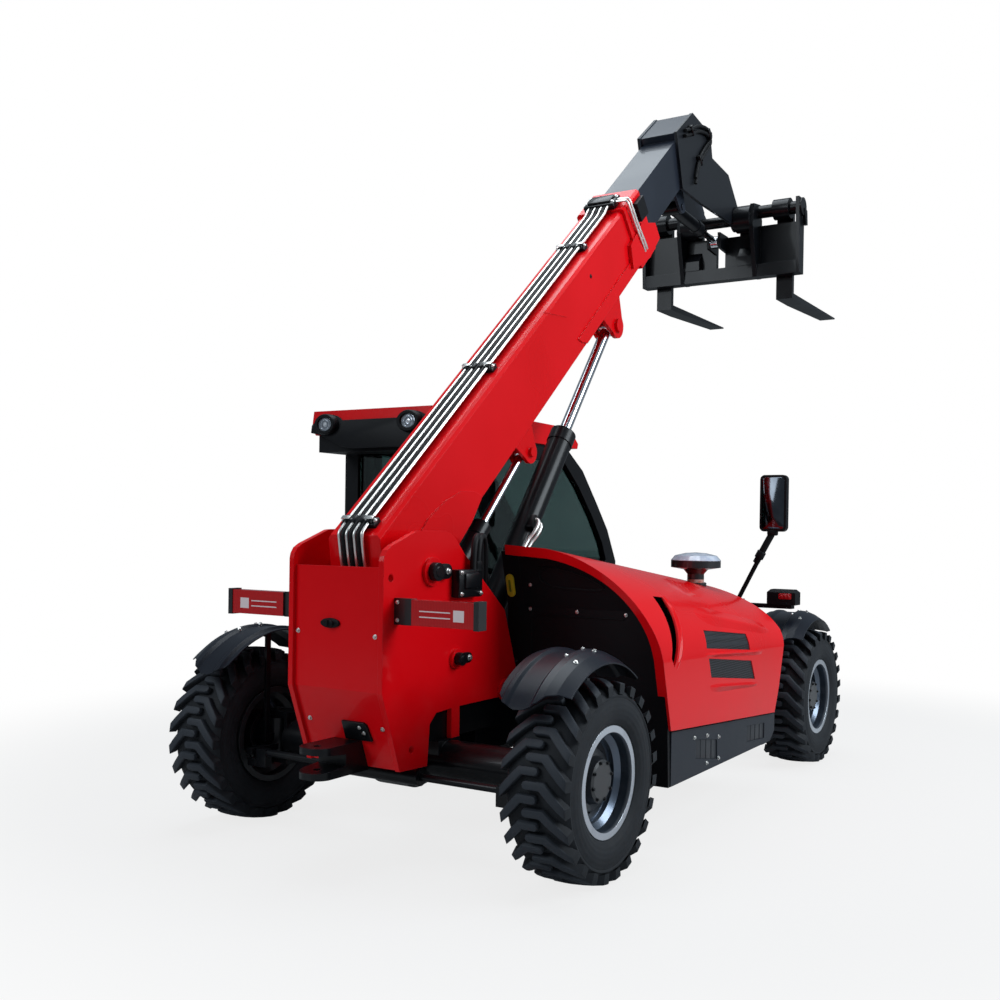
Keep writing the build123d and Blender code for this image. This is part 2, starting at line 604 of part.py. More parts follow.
# Engine bay: inner wall, rear panel, floor tray and skirt
def engine_bay():
    rear_top = hood_top(BAY_REAR_X)
    front_top = hood_top(BAY_FRONT_X)
    wall = side(polygon((BAY_REAR_X, RAIL_BOTTOM_Z), (BAY_REAR_X, rear_top), (BAY_FRONT_X, front_top),
                        (BAY_FRONT_X, RAIL_BOTTOM_Z)), -TOWER_INNER_Y - BAY_WALL, -TOWER_INNER_Y)
    hinge = side(polygon((BAY_REAR_X, rear_top - HINGE_STRIP), (BAY_REAR_X, rear_top), (BAY_FRONT_X, front_top),
                         (BAY_FRONT_X, front_top - HINGE_STRIP)), HOOD_INNER_Y + HINGE_GAP, -TOWER_INNER_Y)
    inner = hood_body(HOOD_WALL + SEAM_GAP + 4, HOOD_REAR_X - 200, HOOD_FRONT_X + 100, 0.0)
    panel = side(polygon((476, 1500), (585, 1060), (590, 870), (625, SKIRT_BOTTOM_Z), (645, SKIRT_BOTTOM_Z),
                         (610, 870), (605, 1060), (496, 1500)), -1300, -TOWER_OUTER_Y - 8)
    joint = block(BAY_REAR_X, 640, -TOWER_OUTER_Y - 8, -TOWER_INNER_Y - BAY_WALL, RAIL_BOTTOM_Z, 1040)
    return wall + hinge + (panel & inner) + joint


SKIRT_VENTS = (
    ((929, 439), (1198, 396), (1203, 298), (933, 345)), ((1610, 402), (1885, 380), (1885, 296), (1614, 317))
)


def side_skirt():
    outer = polygon((SKIRT_REAR_X, SKIRT_BOTTOM_Z), (SKIRT_REAR_X, HOOD_REAR_EDGE_Z - 14),
                    (SKIRT_FRONT_X, HOOD_FRONT_EDGE_Z - 14), (SKIRT_FRONT_X, SKIRT_BOTTOM_Z + 50),
                    (SKIRT_FRONT_X - 70, SKIRT_BOTTOM_Z))
    plate_y = HOOD_SIDE_Y + 20
    inner_y = plate_y + SKIRT_THICKNESS
    plate = side(outer, plate_y, inner_y)
    for vent in SKIRT_VENTS:
        plate -= side(polygon(*vent), plate_y - 10, inner_y + 10)
    wall_y = -TOWER_INNER_Y - BAY_WALL
    floor = block(SKIRT_REAR_X, SKIRT_FRONT_X - 75, inner_y, wall_y, SKIRT_BOTTOM_Z, SKIRT_BOTTOM_Z + 12)
    hanger_x = SKIRT_REAR_X + 50
    hanger = block(hanger_x, hanger_x + 40, wall_y, -RAIL_INNER_Y - 4, SKIRT_BOTTOM_Z, RAIL_BOTTOM_Z)
    hangers = hanger + Pos(1200, 0, 0) * hanger
    return plate + floor + hangers


def engine_block():
    sump = block(950, 1500, -760, -420, SKIRT_BOTTOM_Z + 12, 480)
    core = block(820, 1700, -800, -380, 480, 880)
    head = block(900, 1620, -740, -440, 880, 1000)
    return sump + core + head


# Cab shell in side view
def cab_outline(inset=0.0):
    return polygon(
        (CAB_REAR_X + inset, CAB_FLOOR_Z + inset), (CAB_REAR_X + inset, CAB_ROOF_Z + 60),
        (1850 - inset, CAB_ROOF_Z + 60), (1850 - inset, CAB_ROOF_Z), (2060 - inset, 1800), (2260 - inset, 1590),
        (2400 - inset, 1434), (CAB_NOSE_X - inset, 1230), (CAB_NOSE_X - inset, 1040 + inset),
        (2230 - inset, 1000 + inset), (2190 - inset, CAB_FLOOR_Z + inset)
    )


RIGHT_WINDOW = (
    (860, CAB_SILL_Z), (860, CAB_WINDOW_TOP_Z), (1830, CAB_WINDOW_TOP_Z), (2010, 1700), (2200, 1510),
    (2330, 1350), (2385, 1240), (2300, CAB_SILL_Z)
)
DOOR_OUTLINE = (
    (DOOR_REAR_X, DOOR_SILL_Z), (DOOR_REAR_X, DOOR_TOP_Z), (1800, DOOR_TOP_Z), (1960, 1720), (2090, 1500),
    (2090, 1060), (2050, DOOR_SILL_Z)
)
SCREEN_OPENING = (
    (1880, CAB_ROOF_Z - 40), (2600, CAB_ROOF_Z - 40), (2600, 1250), (2440, 1250), (2200, 1560), (1990, 1790)
)


def grown(points, amount):
    return offset(polygon(*points), amount, kind=Kind.INTERSECTION)


def cab_shell():
    shell = side(cab_outline(), CAB_INNER_Y, CAB_OUTER_Y)
    room = side(cab_outline(CAB_WALL), CAB_INNER_Y + CAB_WALL, CAB_OUTER_Y - CAB_WALL)
    top = block(0, 4000, 0, 2000, CAB_ROOF_Z, 3000)
    shell = shell - room - top
    shell -= side(polygon(*RIGHT_WINDOW), CAB_INNER_Y - 10, CAB_INNER_Y + CAB_WALL + 1)
    shell -= side(grown(DOOR_OUTLINE, DOOR_GAP), CAB_OUTER_Y - CAB_WALL - 1, CAB_OUTER_Y + 10)
    shell -= block(CAB_REAR_X - 10, CAB_REAR_X + CAB_WALL + 1, CAB_INNER_Y + REAR_FRAME,
                   CAB_OUTER_Y - REAR_FRAME, CAB_SILL_Z, CAB_WINDOW_TOP_Z)
    shell -= side(polygon(*SCREEN_OPENING), CAB_INNER_Y + SCREEN_FRAME, CAB_OUTER_Y - SCREEN_FRAME)
    valance = block(ROOF_REAR_X + 40, CAB_REAR_X, CAB_INNER_Y, CAB_OUTER_Y, CAB_ROOF_Z - 104, CAB_ROOF_Z - 14)
    shell += valance
    for z in door_hinge_heights():
        shell += door_hinge_lugs(z)
    return shell


def door_hinge_heights():
    return (DOOR_SILL_Z + 80, DOOR_TOP_Z - 200)


def door_hinge_lugs(z):
    # A lug below and above the door's knuckle, with the pin through all three
    x = DOOR_REAR_X + DOOR_HINGE_OFFSET
    y = CAB_OUTER_Y + DOOR_HINGE_OFFSET
    arm = Pos(x - 24, y) * Rectangle(48, 2 * DOOR_LUG_RADIUS) + Pos(x, y) * Circle(DOOR_LUG_RADIUS)
    foot_x = x - DOOR_HINGE_OFFSET - DOOR_GAP - 20
    arm += Pos(foot_x, CAB_OUTER_Y + DOOR_HINGE_OFFSET / 2) * Rectangle(24, DOOR_HINGE_OFFSET)
    top = z + DOOR_HINGE_LENGTH + 1
    lower = extrude(Plane.XY.offset(z - 1 - DOOR_LUG_THICKNESS) * arm, DOOR_LUG_THICKNESS)
    upper = extrude(Plane.XY.offset(top) * arm, DOOR_LUG_THICKNESS)
    return lower + upper + bar_z(x, y, DOOR_PIN_RADIUS, z - 2, top + 1)


def cab_roof():
    under = CAB_ROOF_Z
    outline = polygon((ROOF_REAR_X, under + 18), (ROOF_REAR_X + 14, under + 112),
                      (620, under + ROOF_THICKNESS + 10), (1700, under + ROOF_THICKNESS), (1900, under + 80),
                      (ROOF_FRONT_X, under + 30),
                      (ROOF_FRONT_X - 10, under), (CAB_REAR_X - 20, under), (CAB_REAR_X - 90, under - 14),
                      (ROOF_REAR_X + 30, under - 14))
    roof = side(outline, CAB_INNER_Y - 20, CAB_OUTER_Y + 15)
    top = under + ROOF_THICKNESS
    hatch = block(980, 1500, CAB_INNER_Y + 150, CAB_OUTER_Y - 150, top - 4, top + 30)
    return roof + hatch


def work_lamps():
    lamp = None
    for y in (CAB_INNER_Y + 85, CAB_OUTER_Y - 105):
        bowl = extrude(Plane(origin=(ROOF_REAR_X + 2, y, CAB_ROOF_Z + 36), z_dir=(-1, 0, 0)) * Circle(52), 34)
        lamp = bowl if lamp is None else lamp + bowl
    return lamp - cab_roof()


def cab_glass():
    # Panes in the middle of the right and rear walls, and the bent screen just under the front face
    inset = CAB_WALL / 2
    right = side(grown(RIGHT_WINDOW, -GLASS_GAP), CAB_INNER_Y + inset, CAB_INNER_Y + inset + GLASS)
    rear_edge = REAR_FRAME + GLASS_GAP
    rear_x = CAB_REAR_X + inset
    rear = block(rear_x, rear_x + GLASS, CAB_INNER_Y + rear_edge, CAB_OUTER_Y - rear_edge,
                 CAB_SILL_Z + GLASS_GAP, CAB_WINDOW_TOP_Z - GLASS_GAP)
    bent = cab_outline(SCREEN_INSET) - cab_outline(SCREEN_INSET + GLASS)
    screen_edge = SCREEN_FRAME + GLASS_GAP
    screen_view = bent & grown(SCREEN_OPENING, -GLASS_GAP)
    screen = side(screen_view, CAB_INNER_Y + screen_edge, CAB_OUTER_Y - screen_edge)
    return right + rear + screen


DOOR_WINDOW = (
    (960, CAB_SILL_Z), (960, CAB_WINDOW_TOP_Z), (1765, CAB_WINDOW_TOP_Z), (1900, 1690), (2020, 1480),
    (2020, CAB_SILL_Z)
)


def cab_door():
    panel = side(polygon(*DOOR_OUTLINE), CAB_OUTER_Y - CAB_WALL, CAB_OUTER_Y)
    panel -= side(polygon(*DOOR_WINDOW), CAB_OUTER_Y - CAB_WALL - 1, CAB_OUTER_Y + 1)
    handle = block(1960, 2010, CAB_OUTER_Y, CAB_OUTER_Y + 28, 1020, 1060)
    handle += block(1880, 2010, CAB_OUTER_Y + 18, CAB_OUTER_Y + 28, 1020, 1060)
    hinges = None
    x = DOOR_REAR_X + DOOR_HINGE_OFFSET
    y = CAB_OUTER_Y + DOOR_HINGE_OFFSET
    bores = bar_z(x, y, DOOR_PIN_RADIUS + RUN_GAP, 0, 3000)
    for z in door_hinge_heights():
        knuckle_bar = bar_z(x, y, DOOR_HINGE_RADIUS, z, z + DOOR_HINGE_LENGTH)
        hinges = knuckle_bar if hinges is None else hinges + knuckle_bar
    return panel + handle + hinges - bores


def cab_door_glass():
    inset = CAB_WALL / 2
    return side(grown(DOOR_WINDOW, -GLASS_GAP), CAB_OUTER_Y - inset - GLASS, CAB_OUTER_Y - inset)


def operator_seat():
    middle = (CAB_INNER_Y + CAB_OUTER_Y) / 2
    floor = CAB_FLOOR_Z + CAB_WALL
    base = block(930, 1270, middle - 150, middle + 150, floor, floor + 260)
    cushion = block(880, 1380, middle - 240, middle + 240, floor + 260, floor + 390)
    cushion = fillet(cushion.edges().filter_by(Axis.Z), 50)
    back = side(polygon((880, floor + 390), (1000, floor + 390), (930, floor + 960), (820, floor + 950)),
                middle - 230, middle + 230)
    return base + cushion + back


def controls():
    middle = (CAB_INNER_Y + CAB_OUTER_Y) / 2
    floor = CAB_FLOOR_Z + CAB_WALL
    column_view = polygon((1960, floor), (2120, floor), (2020, floor + 360), (1900, floor + 360))
    column = side(column_view, middle - 90, middle + 90)
    tilt = Plane(origin=(1850, middle, floor + 480), z_dir=(-0.55, 0, 0.835))
    shaft = extrude(tilt.offset(-200) * Circle(24), 200)
    wheel = tilt * Torus(190, 16)
    spokes = extrude(tilt.offset(-10) * (Rectangle(372, 34) + Rectangle(34, 372)), 14)
    return column + shaft + wheel + spokes


def tank_and_step():
    tank = block(1120, 1860, TOWER_INNER_Y + 14, CAB_OUTER_Y - 130, 330, CAB_FLOOR_Z - 92)
    tank = fillet(tank.edges().filter_by(Axis.X), 40)
    strap = block(1240, 1290, TOWER_INNER_Y, TOWER_INNER_Y + 14, RAIL_BOTTOM_Z - 125, RAIL_BOTTOM_Z + 25)
    straps = strap + Pos(440, 0, 0) * strap
    step = block(1250, 1750, CAB_OUTER_Y - 130, CAB_OUTER_Y - 20, 400, 424)
    return tank + straps + step


# Bar above the front fenders with a lamp at each end, and the mirror on the right
LAMP_BAR_X = BAY_FRONT_X + 470.0
LAMP_BAR_WIDTH = 60.0
LAMP_BAR_Z = 968.0
LAMP_OUTER_Y = 978.0


def front_lamps():
    front_x = LAMP_BAR_X + LAMP_BAR_WIDTH
    top_z = LAMP_BAR_Z + 24
    post = block(LAMP_BAR_X, front_x, TOWER_INNER_Y, TOWER_INNER_Y + 16, RAIL_BOTTOM_Z + 40, top_z)
    bar = block(LAMP_BAR_X, front_x, TOWER_INNER_Y, LAMP_OUTER_Y - 30, LAMP_BAR_Z, top_z)
    lamp = block(LAMP_BAR_X - 20, front_x + 20, LAMP_OUTER_Y - 180, LAMP_OUTER_Y, top_z, top_z + 94)
    lamp = chamfer(lamp.edges().group_by(Axis.Z)[-1], 18)
    return both_sides(post + bar + lamp)


MIRROR_FOOT = (LAMP_BAR_X + 30, -582.0, LAMP_BAR_Z + 24)
MIRROR_TOP = (LAMP_BAR_X + 30, -806.0, 1425.0)
MIRROR_WIDTH = 170.0
MIRROR_HEIGHT = 350.0


def mirror_arm():
    run = Vector(*MIRROR_TOP) - Vector(*MIRROR_FOOT)
    arm = extrude(Plane(origin=MIRROR_FOOT, z_dir=run) * Circle(14), run.length + 40)
    foot_z = MIRROR_FOOT[2]
    arm -= block(MIRROR_FOOT[0] - 500, MIRROR_FOOT[0] + 500, -900, -200, foot_z - 100, foot_z)
    socket = block(LAMP_BAR_X, LAMP_BAR_X + LAMP_BAR_WIDTH, -625, -545, foot_z, foot_z + 24)
    middle = (MIRROR_TOP[0], MIRROR_TOP[1] - 12, MIRROR_TOP[2] + 15 + MIRROR_HEIGHT / 2)
    head = Pos(*middle) * Box(46, MIRROR_WIDTH, MIRROR_HEIGHT)
    head = fillet(head.edges().filter_by(Axis.X), 30)
    return arm + socket + head


# Telescopic boom
def tube_section(half_width, bottom, top, chamfer):
    flat = half_width - chamfer
    return polygon((-half_width, bottom), (half_width, bottom), (half_width, top), (flat, top + chamfer),
                   (-flat, top + chamfer), (-half_width, top))


def boom_prism(section, u_low, u_high):
    # A section drawn in width and height, run along the boom
    start = boom_point(u_low, 0)
    plane = Plane(origin=(start[0], 0, start[1]), x_dir=(0, 1, 0), z_dir=(cos(ANGLE), 0, sin(ANGLE)))
    return extrude(plane * section, u_high - u_low)


def outer_boom():
    rear_u = BOOM_LENGTH - COLLAR_LENGTH
    wide = BOOM_HALF_WIDTH + COLLAR_RISE
    thin = BOOM_HALF_WIDTH - BOOM_WALL
    tube = tube_section(BOOM_HALF_WIDTH, BOOM_BOTTOM, BOOM_TOP, BOOM_CHAMFER)
    body = boom_prism(tube, BOOM_REAR, BOOM_LENGTH)
    collar = boom_prism(tube_section(wide, BOOM_BOTTOM - COLLAR_RISE, BOOM_TOP + COLLAR_RISE, BOOM_CHAMFER),
                        rear_u, BOOM_LENGTH)
    hollow = boom_prism(tube_section(thin, BOOM_BOTTOM + BOOM_WALL, BOOM_TOP - BOOM_WALL + 8, BOOM_CHAMFER - 8),
                        BOOM_REAR + 260, BOOM_LENGTH + 10)
    boom = body + collar - hollow
    ring = boom_prism(tube_section(BOOM_HALF_WIDTH - 4, BOOM_BOTTOM + 4, BOOM_TOP - 4, BOOM_CHAMFER),
                      BOOM_LENGTH - 160, BOOM_LENGTH - 20)
    slide_half = INNER_HALF_WIDTH + SLIDE_GAP
    slide_low = INNER_BOTTOM - SLIDE_GAP
    slide_high = INNER_TOP + SLIDE_GAP
    ring -= boom_prism(polygon((-slide_half, slide_low), (slide_half, slide_low), (slide_half, slide_high),
                               (-slide_half, slide_high)), BOOM_LENGTH - 170, BOOM_LENGTH)
    boom += ring
    boom -= boom_side(polygon((BOOM_REAR - 1, 130), (BOOM_REAR - 1, 300), (BOOM_REAR + 110, 300)), -300, 300)
    cheek = boom_side(polygon((BOOM_REAR, BOOM_BOTTOM + 20), (-60, -150), (120, -165), (480, -140),
                              (640, BOOM_BOTTOM + 20)), thin, BOOM_HALF_WIDTH)
    boom += both_sides(cheek + boom_doublers())
    boom += boom_side(Circle(PIVOT_PIN_RADIUS + 34), -TOWER_INNER_Y + 4, TOWER_INNER_Y - 4)
    boom -= boom_side(Circle(PIVOT_PIN_RADIUS + RUN_GAP), -400, 400)
    boom += lug_pair(LIFT_EYE_U, LIFT_EYE_V, LIFT_PIN_RADIUS + 45, 44, 24)
    boom += lug_pair(LEVEL_EYE_U, LEVEL_EYE_V, LEVEL_PIN_RADIUS + 38, 32, 20)
    return boom


def boom_doublers():
    # Plates welded on the left side: round the pivot, along the lower edge, and a pointed cheek at the collar
    rear_u = BOOM_LENGTH - COLLAR_LENGTH
    low = BOOM_BOTTOM + 2
    outer_y = BOOM_HALF_WIDTH + DOUBLER
    pivot_plate = polygon((BOOM_REAR, 40), (BOOM_REAR, BOOM_BOTTOM + 20), (-60, -148), (120, -163), (480, -138),
                          (628, BOOM_BOTTOM + 10), (590, -40), (510, 25), (390, 70), (240, 92), (60, 70))
    start = rear_u - DOUBLER_LENGTH
    strip = polygon((start, -35), (rear_u, -28), (rear_u, low), (start + 70, low), (start + 28, -74))
    nose = BOOM_LENGTH + COLLAR_NOSE
    cheek = polygon((rear_u - 115, -64), (rear_u - 60, 60), (BOOM_LENGTH - 100, 94), (nose, 6), (nose, -98),
                    (BOOM_LENGTH - 120, low - COLLAR_RISE), (rear_u + 20, low))
    plates = boom_side(pivot_plate, BOOM_HALF_WIDTH, outer_y) + boom_side(strip, BOOM_HALF_WIDTH, outer_y)
    return plates + boom_side(cheek, BOOM_HALF_WIDTH, outer_y + COLLAR_RISE)


def wear_pads():
    # Slide blocks bolted on the collar's upper sides
    pad_y = BOOM_HALF_WIDTH + COLLAR_RISE
    front = BOOM_LENGTH - 12
    outline = polygon((front - WEAR_PAD_LENGTH, 114), (front, 114), (front, BOOM_TOP - 8),
                      (front - WEAR_PAD_LENGTH, BOOM_TOP - 8))
    return both_sides(boom_side(outline, pad_y, pad_y + WEAR_PAD_THICKNESS))


def lug_pair(u, v, radius, inner_y, plate):
    # Two plates under the boom with a pin head on each outer face, open between them
    root = BOOM_BOTTOM + 4
    outline = Pos(u, v) * Circle(radius)
    outline += polygon((u - radius, v), (u + radius, v), (u + 2.2 * radius, root), (u - 2.2 * radius, root))
    plates = boom_side(outline, inner_y, inner_y + plate)
    head = boom_side(Pos(u, v) * Circle(radius - 34), inner_y + plate, inner_y + plate + 18)
    return both_sides(plates + head)


def box_section(half_width, bottom, top):
    return polygon((-half_width, bottom), (half_width, bottom), (half_width, top), (-half_width, top))


def inner_boom():
    section = box_section(INNER_HALF_WIDTH, INNER_BOTTOM, INNER_TOP)
    core = box_section(INNER_HALF_WIDTH - INNER_WALL, INNER_BOTTOM + INNER_WALL, INNER_TOP - INNER_WALL)
    boom = boom_prism(section, INNER_REAR, INNER_FRONT + 100) - boom_prism(core, INNER_REAR - 10, INNER_FRONT)
    pad = box_section(BOOM_HALF_WIDTH - BOOM_WALL - SLIDE_GAP, INNER_BOTTOM + 30, INNER_TOP - 60) - core
    boom += boom_prism(pad, INNER_REAR, INNER_REAR + 120)
    plate_y = INNER_HALF_WIDTH
    front = INNER_FRONT
    neck = polygon((front - 160, INNER_BOTTOM), (front - 20, INNER_TOP + 52), (front + 300, INNER_TOP + 40),
                   (front + 500, 30), (front + 430, -110), (CARRIAGE_U + 60, -330),
                   (CARRIAGE_U + 80, CARRIAGE_V + 60), (CARRIAGE_U, CARRIAGE_V - 60),
                   (CARRIAGE_U - 90, CARRIAGE_V + 20), (front + 60, -260))
    neck += Pos(CARRIAGE_U, CARRIAGE_V) * Circle(CARRIAGE_PIN_RADIUS + 42)
    neck -= Pos(CARRIAGE_U, CARRIAGE_V) * Circle(CARRIAGE_PIN_RADIUS + RUN_GAP)
    boom += both_sides(boom_side(neck, plate_y, plate_y + NECK_PLATE))
    cap = polygon((front - 20, INNER_TOP), (front - 20, INNER_TOP + 46), (front + 300, INNER_TOP + 34),
                  (front + 300, INNER_TOP + 18), (front + 20, INNER_TOP))
    boom += boom_side(cap, -plate_y, plate_y)
    face = polygon((front + 300, INNER_TOP + 34), (front + 494, 26), (front + 478, 20),
                   (front + 284, INNER_TOP + 30))
    boom += boom_side(face, -plate_y, plate_y)
    foot = Pos(TILT_FOOT_U, TILT_FOOT_V) * Circle(44)
    foot += polygon((TILT_FOOT_U - 44, TILT_FOOT_V), (TILT_FOOT_U + 44, TILT_FOOT_V),
                    (TILT_FOOT_U + 100, INNER_BOTTOM + 4), (TILT_FOOT_U - 60, INNER_BOTTOM + 4))
    boom += both_sides(boom_side(foot, 54, 72))
    boom += boom_side(Pos(TILT_FOOT_U, TILT_FOOT_V) * Circle(LEVEL_PIN_RADIUS), -80, 80)
    return boom


# Cylinder: a barrel with an eye at its foot, and a rod with an eye at its end
def barrel(foot, eye, radius, rod_radius, length, pin_radius, half_width):
    start = along(foot, eye, radius * 0.6)
    end = along(foot, eye, length)
    body = bar_between(start, end, radius) + bar_y(foot[0], foot[1], pin_radius + 24, -half_width, half_width)
    gland = bar_between(along(foot, eye, length - 60), along(foot, eye, length + 18), radius + 5)
    bore_start = along(foot, eye, pin_radius + 40)
    bore_end = along(foot, eye, length + 40)
    body = body + gland - bar_between(bore_start, bore_end, rod_radius + RUN_GAP)
    return body - bar_y(foot[0], foot[1], pin_radius + RUN_GAP, -400, 400)


def rod(foot, eye, rod_radius, inside, pin_radius, eye_radius, half_width):
    reach = hypot(eye[0] - foot[0], eye[1] - foot[1])
    shaft = bar_between(along(foot, eye, inside), along(foot, eye, reach - pin_radius), rod_radius)
    ring = bar_y(eye[0], eye[1], eye_radius, -half_width, half_width)
    return shaft + ring - bar_y(eye[0], eye[1], pin_radius, -400, 400)


def lift_barrel():
    return barrel(LIFT_FOOT, LIFT_EYE, LIFT_BARREL_RADIUS, LIFT_ROD_RADIUS, LIFT_BARREL_LENGTH,
                  LIFT_PIN_RADIUS, 60)


def lift_rod():
    return rod(LIFT_FOOT, LIFT_EYE, LIFT_ROD_RADIUS, 820, LIFT_PIN_RADIUS, LIFT_PIN_RADIUS + 30, 38)


def level_barrel():
    return barrel(LEVEL_FOOT, LEVEL_EYE, LEVEL_BARREL_RADIUS, LEVEL_ROD_RADIUS, LEVEL_BARREL_LENGTH,
                  LEVEL_PIN_RADIUS, 44)


def level_rod():
    return rod(LEVEL_FOOT, LEVEL_EYE, LEVEL_ROD_RADIUS, 440, LEVEL_PIN_RADIUS, LEVEL_PIN_RADIUS + 24, 26)


def tilt_barrel():
    return barrel(TILT_FOOT, TILT_EYE, TILT_BARREL_RADIUS, TILT_ROD_RADIUS, TILT_BARREL_LENGTH,
                  LEVEL_PIN_RADIUS, 50)


def tilt_rod():
    return rod(TILT_FOOT, TILT_EYE, TILT_ROD_RADIUS, 260, LEVEL_PIN_RADIUS, LEVEL_PIN_RADIUS + 22, 26)


HOSE_RADIUS = 9.0
HOSE_PITCH = 46.0
# Places of the clamps as shares of the boom's length
HOSE_CLAMPS = (0.376, 0.768)


def boom_hoses():
    # Four pipes along the top with clamps, and a guide block at the front
    top = BOOM_TOP + BOOM_CHAMFER
    hoses = None
    for i in range(4):
        y = (i - 1.5) * HOSE_PITCH
        line = boom_prism(Pos(y, top + 26) * Circle(HOSE_RADIUS), BOOM_REAR + 110, BOOM_LENGTH - 120)
        hoses = line if hoses is None else hoses + line
    for u in (BOOM_REAR + 120, *(share * BOOM_LENGTH for share in HOSE_CLAMPS)):
        hoses += boom_prism(Pos(0, top + 18) * Rectangle(4 * HOSE_PITCH, 36), u, u + 50)
    guide_low = top + COLLAR_RISE
    guide = boom_prism(Pos(0, guide_low + 26) * Rectangle(4 * HOSE_PITCH + 20, 52),
                       BOOM_LENGTH - COLLAR_LENGTH + 5, BOOM_LENGTH - 130)
    return hoses + guide


# Fork carriage hung on the neck's pin
def fork_carriage():
    x = CARRIAGE_X
    z = CARRIAGE_Z
    low_z = z - 420
    beam_z = z - 330
    end_y = CARRIAGE_HALF_WIDTH
    inner_y = INNER_HALF_WIDTH + NECK_PLATE + NECK_GAP
    plate_y = inner_y + 120
    shaft_y = plate_y + 30
    tube = bar_y(x, z, CARRIAGE_TUBE_RADIUS, inner_y, plate_y)
    plate = side(polygon((x - 60, z + 90), (x + 70, z + 110), (x + 110, z), (x + 110, low_z), (x + 10, low_z),
                         (x - 80, z - 60)), plate_y, shaft_y)
    shaft = bar_y(x + 45, z + 50, FORK_SHAFT_RADIUS, shaft_y, end_y + 40)
    end_view = polygon((x - 20, z + 110), (x + 100, z + 110), (x + 100, low_z), (x + 10, low_z))
    end = side(end_view, end_y, end_y + 25)
    flange = bar_y(x + 45, z + 50, FORK_FLANGE_RADIUS, end_y + 25, end_y + 40)
    latch_view = polygon((x + 50, z + 40), (x + 100, z + 30), (x + 112, z - 70), (x + 78, z - 70))
    latch = side(latch_view, end_y + 25, end_y + 48)
    # Walls that close the frame: beside the tube, behind the forks, and a sloped apron on the beam
    shoulder = block(x + 60, x + 100, inner_y, plate_y + 10, z - 110, z - 60)
    back = block(x + 80, x + 96, shaft_y, end_y, beam_z, z - 40)
    apron_view = polygon((x + 62, z - 190), (x + 4, z - 262), (x + 4, beam_z), (x + 62, beam_z))
    apron = side(apron_view, inner_y + 3, plate_y)
    half = both_sides(tube + plate + shaft + end + flange + latch + shoulder + back + apron)
    beam = block(x + 10, x + 100, -end_y, end_y, low_z, beam_z)
    pin = bar_y(x, z, CARRIAGE_PIN_RADIUS, -inner_y - 60, inner_y + 60)
    web = block(x + 60, x + 100, TILT_LUG_INNER_Y, plate_y + 10, beam_z, z - 100)
    lug = side(polygon((TILT_EYE_X - 50, TILT_EYE_Z + 60), (x + 62, TILT_EYE_Z + 60), (x + 62, TILT_EYE_Z - 60),
                       (TILT_EYE_X - 30, TILT_EYE_Z - 50)), TILT_LUG_INNER_Y, TILT_LUG_INNER_Y + TILT_LUG_PLATE)
    return half + beam + pin + both_sides(web + lug)


def fork_tines():
    # Each tine hangs on the shaft by the eye at the top of its shank
    back_x = CARRIAGE_X + 100
    front_x = back_x + TINE_THICKNESS
    tip_x = back_x + TINE_LENGTH
    top_z = CARRIAGE_Z + 70
    under_z = TINE_TOP_Z - TINE_THICKNESS
    shank = polygon((back_x, under_z), (back_x, top_z), (front_x, top_z), (front_x, TINE_TOP_Z),
                    (tip_x, TINE_TOP_Z), (tip_x, TINE_TOP_Z - TINE_TIP), (back_x + 250, under_z))
    shaft_place = Pos(CARRIAGE_X + 45, CARRIAGE_Z + 50)
    outline = shank + shaft_place * Circle(FORK_EYE_RADIUS) - shaft_place * Circle(FORK_SHAFT_RADIUS + RUN_GAP)
    tine = side(outline, TINE_Y - TINE_WIDTH / 2, TINE_Y + TINE_WIDTH / 2)
    return both_sides(tine)


def placed_wheel(shape, x, outward):
    if outward < 0:
        shape = mirror(shape, about=Plane.XZ)
    return Pos(x, outward * WHEEL_PLANE_Y, TYRE_RADIUS) * shape


def placed_corner(shape, x, outward):
    if outward < 0:
        shape = mirror(shape, about=Plane.XZ)
    return Pos(x, 0, TYRE_RADIUS) * shape


nodes = {
    "chassis_frame": chassis_frame(),
    "transmission": transmission(),
    "rear_tower": rear_tower(),
    "tow_hitch": tow_hitch(),
    "tail_lamps": tail_lamps(),
    "engine_hood": engine_hood(),
    "hood_grilles": hood_grilles(),
    "air_precleaner": air_precleaner(),
    "engine_bay": engine_bay(),
    "side_skirt": side_skirt(),
    "engine_block": engine_block(),
    "cab_shell": cab_shell(),
    "cab_roof": cab_roof(),
    "work_lamps": work_lamps(),
    "cab_glass": cab_glass(),
    "cab_door": cab_door(),
    "cab_door_glass": cab_door_glass(),
    "operator_seat": operator_seat(),
    "controls": controls(),
    "tank_and_step": tank_and_step(),
    "front_lamps": front_lamps(),
    "mirror_arm": mirror_arm(),
    "outer_boom": outer_boom(),
    "inner_boom": inner_boom(),
    "boom_hoses": boom_hoses(),
    "wear_pads": wear_pads(),
    "lift_barrel": lift_barrel(),
    "lift_rod": lift_rod(),
    "level_barrel": level_barrel(),
    "level_rod": level_rod(),
    "tilt_barrel": tilt_barrel(),
    "tilt_rod": tilt_rod(),
    "fork_carriage": fork_carriage(),
    "fork_tines": fork_tines(),
}

